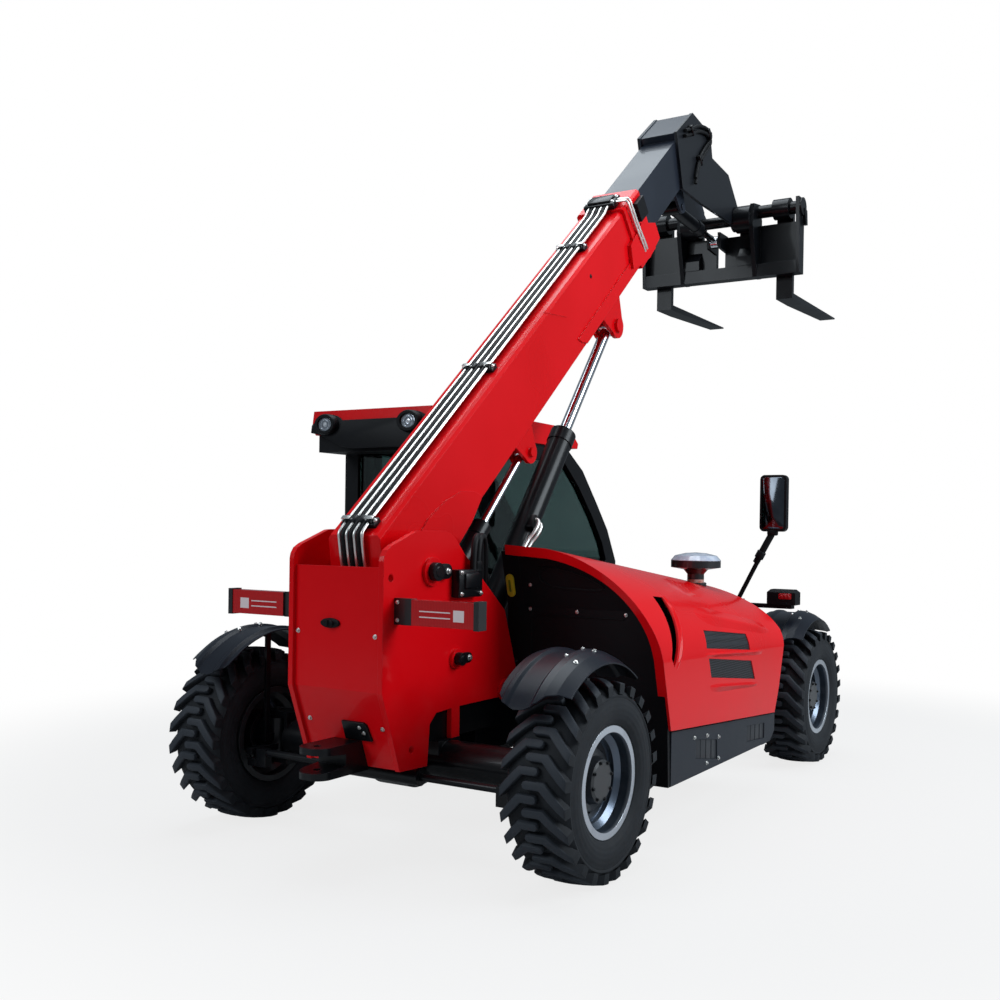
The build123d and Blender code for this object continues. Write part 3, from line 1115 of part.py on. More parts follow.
plain_tyre = tyre()
plain_rim = rim()
plain_knuckle = knuckle()
plain_fender = fender()
plain_axle = axle()
plain_steer_rod = steer_rod()
for end, x in (("front", WHEELBASE), ("rear", 0.0)):
    turned = Rot(0, 0, 180) if end == "front" else Rot(0, 0, 0)
    nodes[end + "_axle"] = Pos(x, 0, TYRE_RADIUS) * turned * plain_axle
    nodes[end + "_steer_rod"] = Pos(x, 0, TYRE_RADIUS) * turned * plain_steer_rod
    end_knuckle = mirror(plain_knuckle, about=Plane.YZ) if end == "front" else plain_knuckle
    for hand, outward in (("left", 1), ("right", -1)):
        corner = end + "_" + hand
        nodes[corner + "_tyre"] = placed_wheel(plain_tyre, x, outward)
        nodes[corner + "_rim"] = placed_wheel(plain_rim, x, outward)
        nodes[corner + "_knuckle"] = placed_corner(end_knuckle, x, outward)
        nodes[corner + "_fender"] = placed_corner(plain_fender, x, outward)

# The origin goes to the middle of the whole length, on the ground
front_end = nodes["fork_tines"].bounding_box().max.X
rear_end = nodes["tow_hitch"].bounding_box().min.X
shift = Pos(-(front_end + rear_end) / 2, 0, 0)

os.makedirs("parts", exist_ok=True)
for name, shape in nodes.items():
    export_step(shift * shape, "parts/" + name + ".step")

print("shift x", -(front_end + rear_end) / 2)
for label, point in (
    ("pivot", (PIVOT_X, PIVOT_Z)), ("lift_foot", LIFT_FOOT), ("lift_eye", LIFT_EYE), ("level_foot", LEVEL_FOOT),
    ("level_eye", LEVEL_EYE), ("tilt_foot", TILT_FOOT), ("tilt_eye", TILT_EYE),
    ("carriage", (CARRIAGE_X, CARRIAGE_Z))
):
    print(label, round(point[0] - (front_end + rear_end) / 2, 3), round(point[1], 3))
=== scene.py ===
import math

import bmesh
import bpy
from mathutils import Matrix, Vector
from mathutils.bvhtree import BVHTree


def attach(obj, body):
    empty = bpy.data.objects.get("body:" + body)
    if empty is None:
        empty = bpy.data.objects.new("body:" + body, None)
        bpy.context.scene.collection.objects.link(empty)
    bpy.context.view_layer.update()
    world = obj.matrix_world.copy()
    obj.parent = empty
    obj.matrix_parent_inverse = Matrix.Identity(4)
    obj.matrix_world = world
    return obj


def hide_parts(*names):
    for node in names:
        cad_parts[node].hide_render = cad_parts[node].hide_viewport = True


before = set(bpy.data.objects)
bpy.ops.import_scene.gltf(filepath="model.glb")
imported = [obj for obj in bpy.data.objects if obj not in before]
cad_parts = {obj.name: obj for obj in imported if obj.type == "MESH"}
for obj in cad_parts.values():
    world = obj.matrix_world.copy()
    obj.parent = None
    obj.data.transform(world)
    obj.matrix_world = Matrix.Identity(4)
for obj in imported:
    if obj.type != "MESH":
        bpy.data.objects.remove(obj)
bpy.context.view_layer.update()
print("frame loaded,", len(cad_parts), "nodes")

# Places are given from the rear axle's middle on the ground, as on a drawing of the machine
rearAxleX = -2.070
boomPivot = (-0.150, 1.245)
boomSlope = math.radians(41.6)


def at(x, y, z):
    return Vector((x + rearAxleX, y, z))


def alongBoom():
    # u runs up the boom, y to the machine's left, v square to the boom's top
    u = Vector((math.cos(boomSlope), 0, math.sin(boomSlope)))
    v = Vector((-math.sin(boomSlope), 0, math.cos(boomSlope)))
    turn = Matrix((u, (0, 1, 0), v)).transposed().to_4x4()
    return Matrix.Translation(at(boomPivot[0], 0, boomPivot[1])) @ turn


class Wire:
    # A shader socket that can stand in a sum
    def __init__(self, finish, socket):
        self.finish = finish
        self.socket = socket

    def work(self, operation, first, second):
        return self.finish.node("ShaderNodeMath", {"operation": operation}, {0: first, 1: second})

    def __add__(self, other):
        return self.work("ADD", self, other)

    def __radd__(self, other):
        return self.work("ADD", other, self)

    def __sub__(self, other):
        return self.work("SUBTRACT", self, other)

    def __rsub__(self, other):
        return self.work("SUBTRACT", other, self)

    def __mul__(self, other):
        return self.work("MULTIPLY", self, other)

    def __rmul__(self, other):
        return self.work("MULTIPLY", other, self)

    def __gt__(self, other):
        return self.work("GREATER_THAN", self, other)

    def __lt__(self, other):
        return self.work("LESS_THAN", self, other)


class Finish:
    # A material whose nodes are added one by one
    def __init__(self, name, fixed):
        self.material = bpy.data.materials.new(name)
        self.material.use_nodes = True
        self.tree = self.material.node_tree
        self.shader = self.tree.nodes["Principled BSDF"]
        self.shade(fixed)

    def feed(self, socket, value):
        if isinstance(value, Wire):
            self.tree.links.new(value.socket, socket)
        else:
            socket.default_value = value

    def shade(self, values):
        for label, value in values.items():
            self.feed(self.shader.inputs[label], value)

    def node(self, kind, settings=None, sockets=None, out=0):
        made = self.tree.nodes.new(kind)
        for label, value in (settings or {}).items():
            setattr(made, label, value)
        for label, value in (sockets or {}).items():
            self.feed(made.inputs[label], value)
        return Wire(self, made.outputs[out])

    def place(self, centre=(0, 0, 0), turn=(0, 0, 0)):
        spot = self.node("ShaderNodeTexCoord", out="Object")
        return self.node("ShaderNodeMapping", {"vector_type": "TEXTURE"},
                         {"Vector": spot, "Location": centre, "Rotation": turn})

    def split(self, vector):
        return [self.node("ShaderNodeSeparateXYZ", {}, {0: vector}, axis) for axis in "XYZ"]

    def noise(self, vector, scale, detail=3.0):
        return self.node("ShaderNodeTexNoise", {}, {"Vector": vector, "Scale": scale, "Detail": detail})

    def ease(self, value, low, high):
        return self.node("ShaderNodeMapRange", {"interpolation_type": "SMOOTHSTEP"},
                         {"Value": value, "From Min": low, "From Max": high})

    def band(self, value, low, high):
        # 1 between low and high, and 0 elsewhere
        return (value > low) * (value < high)

    def mix(self, share, first, second):
        return self.node("ShaderNodeMix", {"data_type": "RGBA"}, {0: share, 6: first, 7: second}, 2)

    def bump(self, height, strength, distance, under=None):
        sockets = {"Height": height, "Strength": strength, "Distance": distance}
        if under:
            sockets["Normal"] = under
        return self.node("ShaderNodeBump", {}, sockets)

    def edges(self, radius):
        # Rounded edge normals, and a mask that is 1 where the edge turns
        rounded = self.node("ShaderNodeBevel", {"samples": 4}, {"Radius": radius})
        true = self.node("ShaderNodeNewGeometry", out="Normal")
        along = self.node("ShaderNodeVectorMath", {"operation": "DOT_PRODUCT"}, {0: rounded, 1: true},
                          "Value")
        return rounded, self.ease(1 - along, 0.08, 0.42)

    def radius(self, vector):
        # Distance from the Y axis
        x, y, z = self.split(vector)
        return self.node("ShaderNodeMath", {"operation": "SQRT"}, {0: x * x + z * z}), y


def paint(name, look):
    # Sprayed paint: slow change of tone, orange peel, painted highlights on the edges, dust low down, side
    # plates painted black as shade
    finish = Finish(name, {"Coat Weight": look["coat"], "Coat Roughness": 0.06,
                           "Specular IOR Level": look["gloss"]})
    spot = finish.place()
    tone = finish.ease(finish.noise(spot, look["toneScale"]), 0.35, 0.65)
    rounded, edge = finish.edges(look["edgeRadius"])
    colour = finish.mix(tone, look["deep"], look["base"])
    # Painted highlight: the edges are mixed towards a lighter colour
    colour = finish.mix(edge * look["edgeShare"], colour, look["edge"])
    x, y, height = finish.split(spot)
    # Painted shade: side plates far enough out across the piece are mixed nearly to black
    if look["shadedPlatesFrom"]:
        reach = finish.node("ShaderNodeMath", {"operation": "ABSOLUTE"}, {0: y})
        colour = finish.mix((reach > look["shadedPlatesFrom"]) * 0.8, colour, (0.002, 0.0026, 0.0036, 1))
    low = (1 - finish.ease(height, 0.25, 0.95)) * finish.ease(finish.noise(spot, 9.0, 6.0), 0.42, 0.75)
    colour = finish.mix(low * look["dust"], colour, (0.22, 0.19, 0.16, 1))
    peel = finish.noise(spot, look["peelScale"], 2.0)
    finish.shade({"Base Color": colour, "Roughness": look["rough"] + tone * 0.07 + low * look["dust"],
                  "Normal": finish.bump(peel, look["peel"], 0.001, rounded)})
    return finish.material


def moulded(name, look):
    # Moulded plastic: fine grain in the surface, a faint haze and painted highlights on the edges
    finish = Finish(name, {"Specular IOR Level": look["gloss"]})
    spot = finish.place()
    rounded, edge = finish.edges(look["edgeRadius"])
    haze = finish.ease(finish.noise(spot, 3.0, 5.0), 0.35, 0.75)
    colour = finish.mix(haze * 0.6, look["base"], look["haze"])
    # Painted highlight: the edges are mixed towards a lighter colour
    colour = finish.mix(edge * look["edgeShare"], colour, look["edge"])
    grain = finish.node("ShaderNodeTexVoronoi", {}, {"Vector": spot, "Scale": look["grainScale"]})
    finish.shade({"Base Color": colour, "Roughness": look["rough"] + haze * 0.10,
                  "Normal": finish.bump(grain, look["grain"], 0.0006, rounded)})
    return finish.material


def metal(name, look):
    # Bare or plated metal with fine drawn lines along one axis
    finish = Finish(name, {"Metallic": 1.0})
    spot = finish.place()
    stretched = finish.node("ShaderNodeMapping", {}, {"Vector": spot, "Scale": look["drawn"]})
    lines = finish.noise(stretched, look["lineScale"], 4.0)
    cloud = finish.ease(finish.noise(spot, 6.0, 4.0), 0.3, 0.7)
    rounded = finish.edges(0.0015)[0]
    finish.shade({"Base Color": finish.mix(cloud, look["base"], look["shade"]),
                  "Roughness": look["rough"] + lines * look["lineRough"],
                  "Normal": finish.bump(lines, look["lines"], 0.0004, rounded)})
    return finish.material


def tintedGlass():
    finish = Finish("tintedGlass", {"Transmission Weight": 1.0, "IOR": 1.45})
    spot = finish.place()
    film = finish.ease(finish.noise(spot, 2.2, 5.0), 0.4, 0.8)
    finish.shade({"Base Color": finish.mix(film, (0.10, 0.17, 0.165, 1), (0.14, 0.21, 0.20, 1)),
                  "Roughness": 0.01 + film * 0.03})
    return finish.material


def lampRed():
    # Red lens on a black bracket and end cap, told apart by their distance from the middle
    look = {"bracketEnd": 0.352, "capStart": 0.660, "prisms": 260.0, "lineFrom": 0.392, "lineTo": 0.545,
            "upperLine": 1.0965, "lowerLine": 1.0735, "lineHalf": 0.0024, "blockFrom": 0.560,
            "blockTo": 0.612, "blockLow": 1.062, "blockHigh": 1.108}
    finish = Finish("lampRed", {"Coat Weight": 0.5, "Coat Roughness": 0.04})
    spot = finish.place()
    x, y, z = finish.split(spot)
    reach = finish.node("ShaderNodeMath", {"operation": "ABSOLUTE"}, {0: y})
    lens = finish.band(reach, look["bracketEnd"], look["capStart"])
    lines = finish.band(z, look["upperLine"] - look["lineHalf"], look["upperLine"] + look["lineHalf"])
    lines = lines + finish.band(z, look["lowerLine"] - look["lineHalf"],
                                look["lowerLine"] + look["lineHalf"])
    pale = lines * finish.band(reach, look["lineFrom"], look["lineTo"])
    block = finish.band(reach, look["blockFrom"], look["blockTo"])
    block = block * finish.band(z, look["blockLow"], look["blockHigh"])
    pale = pale + block
    rounded = finish.edges(0.003)[0]
    prism = finish.node("ShaderNodeTexWave", {"bands_direction": "Y"},
                        {"Vector": spot, "Scale": look["prisms"] / 6.28})
    red = finish.mix(prism, (0.44, 0.004, 0.006, 1), (0.54, 0.010, 0.012, 1))
    red = finish.mix(pale, red, (0.80, 0.66, 0.66, 1))
    finish.shade({"Base Color": finish.mix(lens, (0.006, 0.006, 0.007, 1), red),
                  "Roughness": 0.42 - lens * 0.24,
                  "Normal": finish.bump(prism * lens, 0.10, 0.0008, rounded)})
    return finish.material


def lampGlass():
    # Silvered bowls of the work lamps: a bright bulb, ribbed silver round it and a dark rim
    look = {"middles": ((0.432, 0.330, 1.966), (0.432, 0.880, 1.966)), "bulb": 0.011, "rim": 0.043,
            "ribs": 420.0}
    finish = Finish("lampGlass", {"Coat Weight": 1.0, "Coat Roughness": 0.02})
    reaches = []
    for middle in look["middles"]:
        x, y, z = finish.split(finish.place(at(*middle)))
        reaches.append(finish.node("ShaderNodeMath", {"operation": "SQRT"}, {0: y * y + z * z}))
    reach = finish.node("ShaderNodeMath", {"operation": "MINIMUM"}, {0: reaches[0], 1: reaches[1]})
    ribs = finish.node("ShaderNodeMath", {"operation": "SINE"}, {0: reach * look["ribs"]}) * 0.5 + 0.5
    facets = finish.node("ShaderNodeTexVoronoi", {}, {"Vector": finish.place(), "Scale": 55.0})
    bowl = finish.mix(ribs * 0.5 + finish.ease(facets, 0.1, 0.6) * 0.4, (0.62, 0.66, 0.72, 1),
                      (0.14, 0.16, 0.19, 1))
    bulb = 1 - finish.ease(reach, look["bulb"] - 0.003, look["bulb"] + 0.003)
    rim = finish.ease(reach, look["rim"] - 0.002, look["rim"] + 0.002)
    colour = finish.mix(bulb, bowl, (0.92, 0.94, 0.97, 1))
    finish.shade({"Base Color": finish.mix(rim, colour, (0.006, 0.007, 0.009, 1)),
                  "Metallic": 0.7 - rim * 0.7,
                  "Roughness": 0.16 + rim * 0.2, "Normal": finish.bump(facets + ribs * 0.4, 0.4, 0.003)})
    return finish.material


def seatCloth():
    finish = Finish("seatCloth", {"Sheen Weight": 0.4, "Specular IOR Level": 0.2})
    spot = finish.place()
    warp = finish.node("ShaderNodeTexWave", {"bands_direction": "X"}, {"Vector": spot, "Scale": 190.0})
    weft = finish.node("ShaderNodeTexWave", {"bands_direction": "Z"}, {"Vector": spot, "Scale": 190.0})
    weave = warp * weft
    finish.shade({"Base Color": finish.mix(weave, (0.016, 0.017, 0.020, 1), (0.050, 0.052, 0.060, 1)),
                  "Roughness": 0.80 + weave * 0.1, "Normal": finish.bump(weave, 0.5, 0.001)})
    return finish.material


def castEngine():
    finish = Finish("castEngine", {"Metallic": 0.3})
    spot = finish.place()
    sand = finish.noise(spot, 160.0, 5.0)
    oil = finish.ease(finish.noise(spot, 5.0, 5.0), 0.45, 0.7)
    finish.shade({"Base Color": finish.mix(oil, (0.060, 0.062, 0.066, 1), (0.020, 0.019, 0.018, 1)),
                  "Roughness": 0.62 - oil * 0.25, "Normal": finish.bump(sand, 0.5, 0.003)})
    return finish.material


def grilleMesh():
    # Pressed steel mesh: a grey sheet whose holes are painted dark, as painted shade for the dark seen
    # through them
    look = {"pitch": 0.012, "hole": 0.34}
    finish = Finish("grilleMesh", {"Specular IOR Level": 0.3})
    spot = finish.place()
    cells = finish.node("ShaderNodeTexVoronoi", {"distance": "EUCLIDEAN"},
                        {"Vector": spot, "Scale": 1 / look["pitch"], "Randomness": 0.0})
    web = finish.ease(cells, look["hole"], look["hole"] + 0.12)
    # Painted shade: the holes are coloured nearly black
    finish.shade({"Base Color": finish.mix(web, (0.003, 0.0032, 0.004, 1), (0.020, 0.022, 0.027, 1)),
                  "Roughness": 0.55 - web * 0.15, "Normal": finish.bump(web, 0.8, 0.002)})
    return finish.material


def precleanerBowl():
    # Clear bowl over a black body, with an amber ring low down
    look = {"bowl": 1.268, "ring": 1.142, "ringTop": 1.160}
    finish = Finish("precleanerBowl", {"Coat Weight": 0.8, "Coat Roughness": 0.05})
    spot = finish.place()
    height = finish.split(spot)[2]
    bowl = finish.ease(height, look["bowl"] - 0.002, look["bowl"] + 0.002)
    ring = (height > look["ring"]) * (height < look["ringTop"])
    swirl = finish.ease(finish.noise(spot, 26.0, 4.0), 0.3, 0.7)
    rounded = finish.edges(0.004)[0]
    clear = finish.mix(swirl, (0.42, 0.48, 0.60, 1), (0.60, 0.64, 0.72, 1))
    colour = finish.mix(bowl, (0.013, 0.013, 0.015, 1), clear)
    colour = finish.mix(ring, colour, finish.mix(swirl, (0.55, 0.10, 0.05, 1), (0.75, 0.55, 0.48, 1)))
    finish.shade({"Base Color": colour, "Roughness": 0.34 - bowl * 0.2,
                  "Normal": finish.bump(swirl, 0.06, 0.002, rounded)})
    return finish.material


def tyreRubber(name, centre):
    # Rubber told apart by its distance from the axle: lug tops paler, sidewall ringed
    look = {"topLow": 0.396, "topHigh": 0.404, "ringLow": 0.232, "ringHigh": 0.360, "rings": 300.0}
    finish = Finish(name, {"Specular IOR Level": 0.32})
    spot = finish.place(centre)
    radius, width = finish.radius(spot)
    top = finish.ease(radius, look["topLow"], look["topHigh"])
    scuff = finish.noise(spot, 38.0, 6.0)
    dust = finish.ease(finish.noise(spot, 7.0, 6.0), 0.42, 0.78)
    ring = finish.node("ShaderNodeMath", {"operation": "SINE"}, {0: radius * look["rings"]})
    band = finish.ease(radius, look["ringLow"], look["ringLow"] + 0.004)
    band = band * (1 - finish.ease(radius, look["ringHigh"] - 0.03, look["ringHigh"]))
    colour = finish.mix(finish.ease(scuff, 0.3, 0.7), (0.0062, 0.0076, 0.0102, 1),
                        (0.0105, 0.0128, 0.0168, 1))
    colour = finish.mix(top * (0.6 + scuff * 0.6), colour, (0.026, 0.031, 0.040, 1))
    colour = finish.mix(dust * 0.08, colour, (0.08, 0.078, 0.075, 1))
    height = scuff * 0.35 + ring * band * 0.18
    finish.shade({"Base Color": colour, "Roughness": 0.62 + scuff * 0.2 - top * 0.12,
                  "Normal": finish.bump(height, 0.55, 0.003)})
    return finish.material


def rimSilver(name, centre, hand):
    # Silver lacquer on the outer flange, black on the disc and the hub; painted shade darkens the barrel and
    # blackens the inner side
    look = {"discEdge": 0.166, "barrelFrom": 0.110, "flangeFrom": 0.127}
    finish = Finish(name, {"Coat Weight": 0.4, "Coat Roughness": 0.08})
    spot = finish.place(centre)
    radius, width = finish.radius(spot)
    outward = width * hand
    silver = finish.ease(radius, look["discEdge"] - 0.002, look["discEdge"] + 0.002)
    # Painted shade: the rim's inner side, towards the machine, is left black
    silver = silver * finish.ease(outward, -0.004, 0.004)
    flange = finish.ease(outward, look["barrelFrom"], look["flangeFrom"])
    flake = finish.noise(spot, 900.0, 1.0)
    dirt = finish.ease(finish.noise(spot, 12.0, 6.0), 0.5, 0.8)
    rounded, edge = finish.edges(0.003)
    bright = finish.mix(flake, (0.50, 0.54, 0.60, 1), (0.66, 0.69, 0.74, 1))
    # Painted shade: the barrel, inside the flange, is darkened
    bright = finish.mix(flange, (0.105, 0.130, 0.170, 1), bright)
    bright = finish.mix(dirt * 0.35, bright, (0.16, 0.16, 0.17, 1))
    # Painted highlight: the edges of the black parts are mixed towards grey
    dark = finish.mix(edge * 0.5, (0.011, 0.012, 0.014, 1), (0.06, 0.06, 0.07, 1))
    finish.shade({"Base Color": finish.mix(silver, dark, bright), "Metallic": silver * 0.85,
                  "Roughness": 0.40 - silver * 0.12 + dirt * 0.15,
                  "Normal": finish.bump(flake, 0.03, 0.0006, rounded)})
    return finish.material


# In each look, the edge colour and its share give a painted highlight along the edges
redLook = {"base": (0.74, 0.0012, 0.005, 1), "deep": (0.67, 0.0008, 0.003, 1),
           "edge": (0.74, 0.05, 0.07, 1), "edgeRadius": 0.004, "edgeShare": 0.4, "coat": 0.22,
           "gloss": 0.12, "rough": 0.26, "toneScale": 1.1, "peelScale": 380.0, "peel": 0.05, "dust": 0.06,
           "shadedPlatesFrom": 0}
blackLook = {"base": (0.0032, 0.0038, 0.0052, 1), "deep": (0.002, 0.0024, 0.0034, 1),
             "edge": (0.035, 0.040, 0.050, 1), "edgeRadius": 0.003, "edgeShare": 0.5, "coat": 0.12,
             "gloss": 0.20, "rough": 0.30, "toneScale": 2.0, "peelScale": 300.0, "peel": 0.08, "dust": 0.02,
             "shadedPlatesFrom": 0}
# The inner boom's side plates take painted shade, nearly black
slateLook = {"base": (0.011, 0.0155, 0.026, 1), "deep": (0.0075, 0.011, 0.019, 1),
             "edge": (0.09, 0.11, 0.14, 1), "edgeRadius": 0.004, "edgeShare": 0.5, "coat": 0.16,
             "gloss": 0.3, "rough": 0.34, "toneScale": 1.4, "peelScale": 340.0, "peel": 0.06, "dust": 0.0,
             "shadedPlatesFrom": 0.126}
plasticLook = {"base": (0.0030, 0.0034, 0.0046, 1), "haze": (0.005, 0.0056, 0.0074, 1),
               "edge": (0.03, 0.033, 0.04, 1), "edgeRadius": 0.004, "edgeShare": 0.5, "gloss": 0.16,
               "rough": 0.46, "grainScale": 700.0, "grain": 0.22}
fenderLook = {"base": (0.007, 0.009, 0.0145, 1), "haze": (0.011, 0.0145, 0.022, 1),
              "edge": (0.08, 0.10, 0.135, 1), "edgeRadius": 0.004, "edgeShare": 0.5, "gloss": 0.24,
              "rough": 0.32, "grainScale": 900.0, "grain": 0.05}
skirtLook = {"base": (0.014, 0.017, 0.024, 1), "haze": (0.020, 0.024, 0.032, 1),
             "edge": (0.07, 0.08, 0.10, 1), "edgeRadius": 0.004, "edgeShare": 0.5, "gloss": 0.3,
             "rough": 0.46, "grainScale": 600.0, "grain": 0.25}
chromeLook = {"base": (0.82, 0.84, 0.87, 1), "shade": (0.70, 0.72, 0.76, 1), "drawn": (1, 1, 30),
              "lineScale": 40.0, "rough": 0.07, "lineRough": 0.06, "lines": 0.04}
zincLook = {"base": (0.78, 0.77, 0.74, 1), "shade": (0.60, 0.60, 0.58, 1), "drawn": (1, 1, 1),
            "lineScale": 90.0, "rough": 0.24, "lineRough": 0.16, "lines": 0.10}
pipeSteelLook = {"base": (0.94, 0.92, 0.88, 1), "shade": (0.80, 0.78, 0.74, 1), "drawn": (1, 1, 1),
                 "lineScale": 60.0, "rough": 0.30, "lineRough": 0.10, "lines": 0.05}
mirrorLook = {"base": (0.10, 0.11, 0.125, 1), "shade": (0.06, 0.066, 0.078, 1), "drawn": (1, 1, 1),
              "lineScale": 20.0, "rough": 0.06, "lineRough": 0.05, "lines": 0.02}
hoseLook = {"base": (0.004, 0.0043, 0.0052, 1), "haze": (0.006, 0.0064, 0.0076, 1),
            "edge": (0.012, 0.012, 0.014, 1), "edgeRadius": 0.002, "edgeShare": 0.3, "gloss": 0.2,
            "rough": 0.5, "grainScale": 500.0, "grain": 0.2}
gaugeLook = {"base": (0.78, 0.56, 0.02, 1), "haze": (0.70, 0.48, 0.02, 1), "edge": (0.85, 0.70, 0.15, 1),
             "edgeRadius": 0.002, "edgeShare": 0.4, "gloss": 0.4, "rough": 0.32, "grainScale": 800.0,
             "grain": 0.05}
lensLook = {"base": (0.46, 0.006, 0.010, 1), "haze": (0.40, 0.005, 0.008, 1), "edge": (0.62, 0.10, 0.10, 1),
            "edgeRadius": 0.002, "edgeShare": 0.4, "gloss": 0.5, "rough": 0.16, "grainScale": 300.0,
            "grain": 0.25}

finishes = {
    "redPaint": paint("redPaint", redLook),
    "blackPaint": paint("blackPaint", blackLook),
    "slatePaint": paint("slatePaint", slateLook),
    "blackPlastic": moulded("blackPlastic", plasticLook),
    "fenderPlastic": moulded("fenderPlastic", fenderLook),
    "skirtPlastic": moulded("skirtPlastic", skirtLook),
    "rodChrome": metal("rodChrome", chromeLook),
    "zincPlate": metal("zincPlate", zincLook),
    "pipeSteel": metal("pipeSteel", pipeSteelLook),
    "mirrorSilver": metal("mirrorSilver", mirrorLook),
    "hoseRubber": moulded("hoseRubber", hoseLook),
    "gaugeYellow": moulded("gaugeYellow", gaugeLook),
    "lensRed": moulded("lensRed", lensLook),
    "tintedGlass": tintedGlass(),
    "lampRed": lampRed(),
    "lampGlass": lampGlass(),
    "seatCloth": seatCloth(),
    "castEngine": castEngine(),
    "grilleMesh": grilleMesh(),
    "precleanerBowl": precleanerBowl(),
}
wheelNames = {"rear_right": (0.0, -1), "rear_left": (0.0, 1), "front_right": (2.8, -1),
              "front_left": (2.8, 1)}
wheelPlane = 0.925
tyreRadius = 0.415
for wheelName, (wheelX, hand) in wheelNames.items():
    wheelCentre = at(wheelX, hand * wheelPlane, tyreRadius)
    finishes[wheelName + "Rubber"] = tyreRubber(wheelName + "Rubber", wheelCentre)
    finishes[wheelName + "Silver"] = rimSilver(wheelName + "Silver", wheelCentre, hand)

nodeFinish = {
    "redPaint": ["outer_boom", "rear_tower", "engine_hood", "cab_roof"],
    "slatePaint": ["inner_boom"],
    "blackPaint": ["chassis_frame", "front_axle", "rear_axle", "front_left_knuckle", "front_right_knuckle",
                   "rear_left_knuckle", "rear_right_knuckle", "fork_carriage", "fork_tines", "lift_barrel",
                   "level_barrel", "tilt_barrel", "tow_hitch", "tank_and_step", "transmission",
                   "front_steer_rod", "rear_steer_rod"],
    "blackPlastic": ["engine_bay", "cab_shell", "cab_door", "mirror_arm", "front_lamps", "controls",
                     "boom_hoses", "operator_seat", "wear_pads"],
    "fenderPlastic": ["front_left_fender", "front_right_fender", "rear_left_fender", "rear_right_fender"],
    "skirtPlastic": ["side_skirt"],
    "rodChrome": ["lift_rod", "level_rod", "tilt_rod"],
    "tintedGlass": ["cab_glass", "cab_door_glass"],
    "lampRed": ["tail_lamps"],
    "lampGlass": ["work_lamps"],
    "castEngine": ["engine_block"],
    "grilleMesh": ["hood_grilles"],
    "precleanerBowl": ["air_precleaner"],
}
for wheelName in wheelNames:
    nodeFinish[wheelName + "Rubber"] = [wheelName + "_tyre"]
    nodeFinish[wheelName + "Silver"] = [wheelName + "_rim"]
for finishName, nodeNames in nodeFinish.items():
    for nodeName in nodeNames:
        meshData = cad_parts[nodeName].data
        meshData.materials.clear()
        meshData.materials.append(finishes[finishName])
print("finishes made,", len(finishes))


def newPiece(name, mesh, finish, body, smoothBelow=32):
    data = bpy.data.meshes.new(name)
    mesh.to_mesh(data)
    mesh.free()
    data.materials.append(finishes[finish])
    for face in data.polygons:
        face.use_smooth = True
    data.set_sharp_from_angle(angle=math.radians(smoothBelow))
    piece = bpy.data.objects.new(name, data)
    bpy.context.scene.collection.objects.link(piece)
    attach(piece, body)
    return piece


def roundEdges(mesh, edges, width, segments=2):
    bmesh.ops.bevel(mesh, geom=edges, offset=width, offset_type="OFFSET", affect="EDGES", segments=segments,
                    profile=0.5,
                    material=-1, clamp_overlap=True)


def toward(direction):
    return Vector(direction).to_track_quat("Z", "Y").to_matrix().to_4x4()


def addBlock(mesh, centre, size, round=0.0, turn=None):
    place = Matrix.Translation(centre) @ (turn or Matrix.Identity(4)) @ Matrix.Diagonal((*size, 1))
    made = bmesh.ops.create_cube(mesh, size=1, matrix=place)
    if round:
        roundEdges(mesh, list({e for v in made["verts"] for e in v.link_edges}), round)


def addRod(mesh, start, end, radius, sides=20, round=0.0, endRadius=None):
    start, end = Vector(start), Vector(end)
    place = Matrix.Translation((start + end) / 2) @ toward(end - start)
    made = bmesh.ops.create_cone(mesh, cap_ends=True, segments=sides, radius1=radius,
                                 radius2=radius if endRadius is None else endRadius,
                                 depth=(end - start).length, matrix=place)
    if round:
        rims = {e for v in made["verts"] for e in v.link_edges if any(len(f.verts) > 4 for f in e.link_faces)}
        roundEdges(mesh, list(rims), round)


def addBolt(mesh, seat, direction, size):
    # Washer and hexagon head, standing on the seat
    seat, direction = Vector(seat), Vector(direction).normalized()
    addRod(mesh, seat - direction * size * 0.2, seat + direction * size * 0.22, size * 1.05, 16,
           size * 0.06)
    addRod(mesh, seat + direction * size * 0.2, seat + direction * size * 0.85, size * 0.72, 6, size * 0.08)


def joinInto(mesh, part, place):
    # Copies a finished small shape into the piece, at its place
    bmesh.ops.transform(part, matrix=place, verts=part.verts[:])
    data = bpy.data.meshes.new("smallShape")
    part.to_mesh(data)
    part.free()
    mesh.from_mesh(data)
    bpy.data.meshes.remove(data)


def addTurned(mesh, profile, place, steps=48):
    # profile is (radius, height) pairs, turned about the place's Z axis
    part = bmesh.new()
    points = [part.verts.new((r, 0, h)) for r, h in profile]
    edges = [part.edges.new(pair) for pair in zip(points, points[1:])]
    bmesh.ops.spin(part, geom=points + edges, cent=(0, 0, 0), axis=(0, 0, 1), angle=2 * math.pi,
                   steps=steps, use_merge=True)
    bmesh.ops.remove_doubles(part, verts=part.verts[:], dist=1e-6)
    bmesh.ops.recalc_face_normals(part, faces=part.faces[:])
    joinInto(mesh, part, place)


def addPlate(mesh, outline, thick, place, round=0.0):
    # outline is (x, y) pairs in the place's plane, thickened along its Z axis
    part = bmesh.new()
    face = part.faces.new([part.verts.new((x, y, 0)) for x, y in outline])
    made = bmesh.ops.extrude_face_region(part, geom=[face])["geom"]
    moved = [v for v in made if isinstance(v, bmesh.types.BMVert)]
    bmesh.ops.translate(part, vec=(0, 0, thick), verts=moved)
    bmesh.ops.recalc_face_normals(part, faces=part.faces[:])
    if round:
        roundEdges(part, [e for e in part.edges if all(v in moved for v in e.verts)], round)
    joinInto(mesh, part, place)


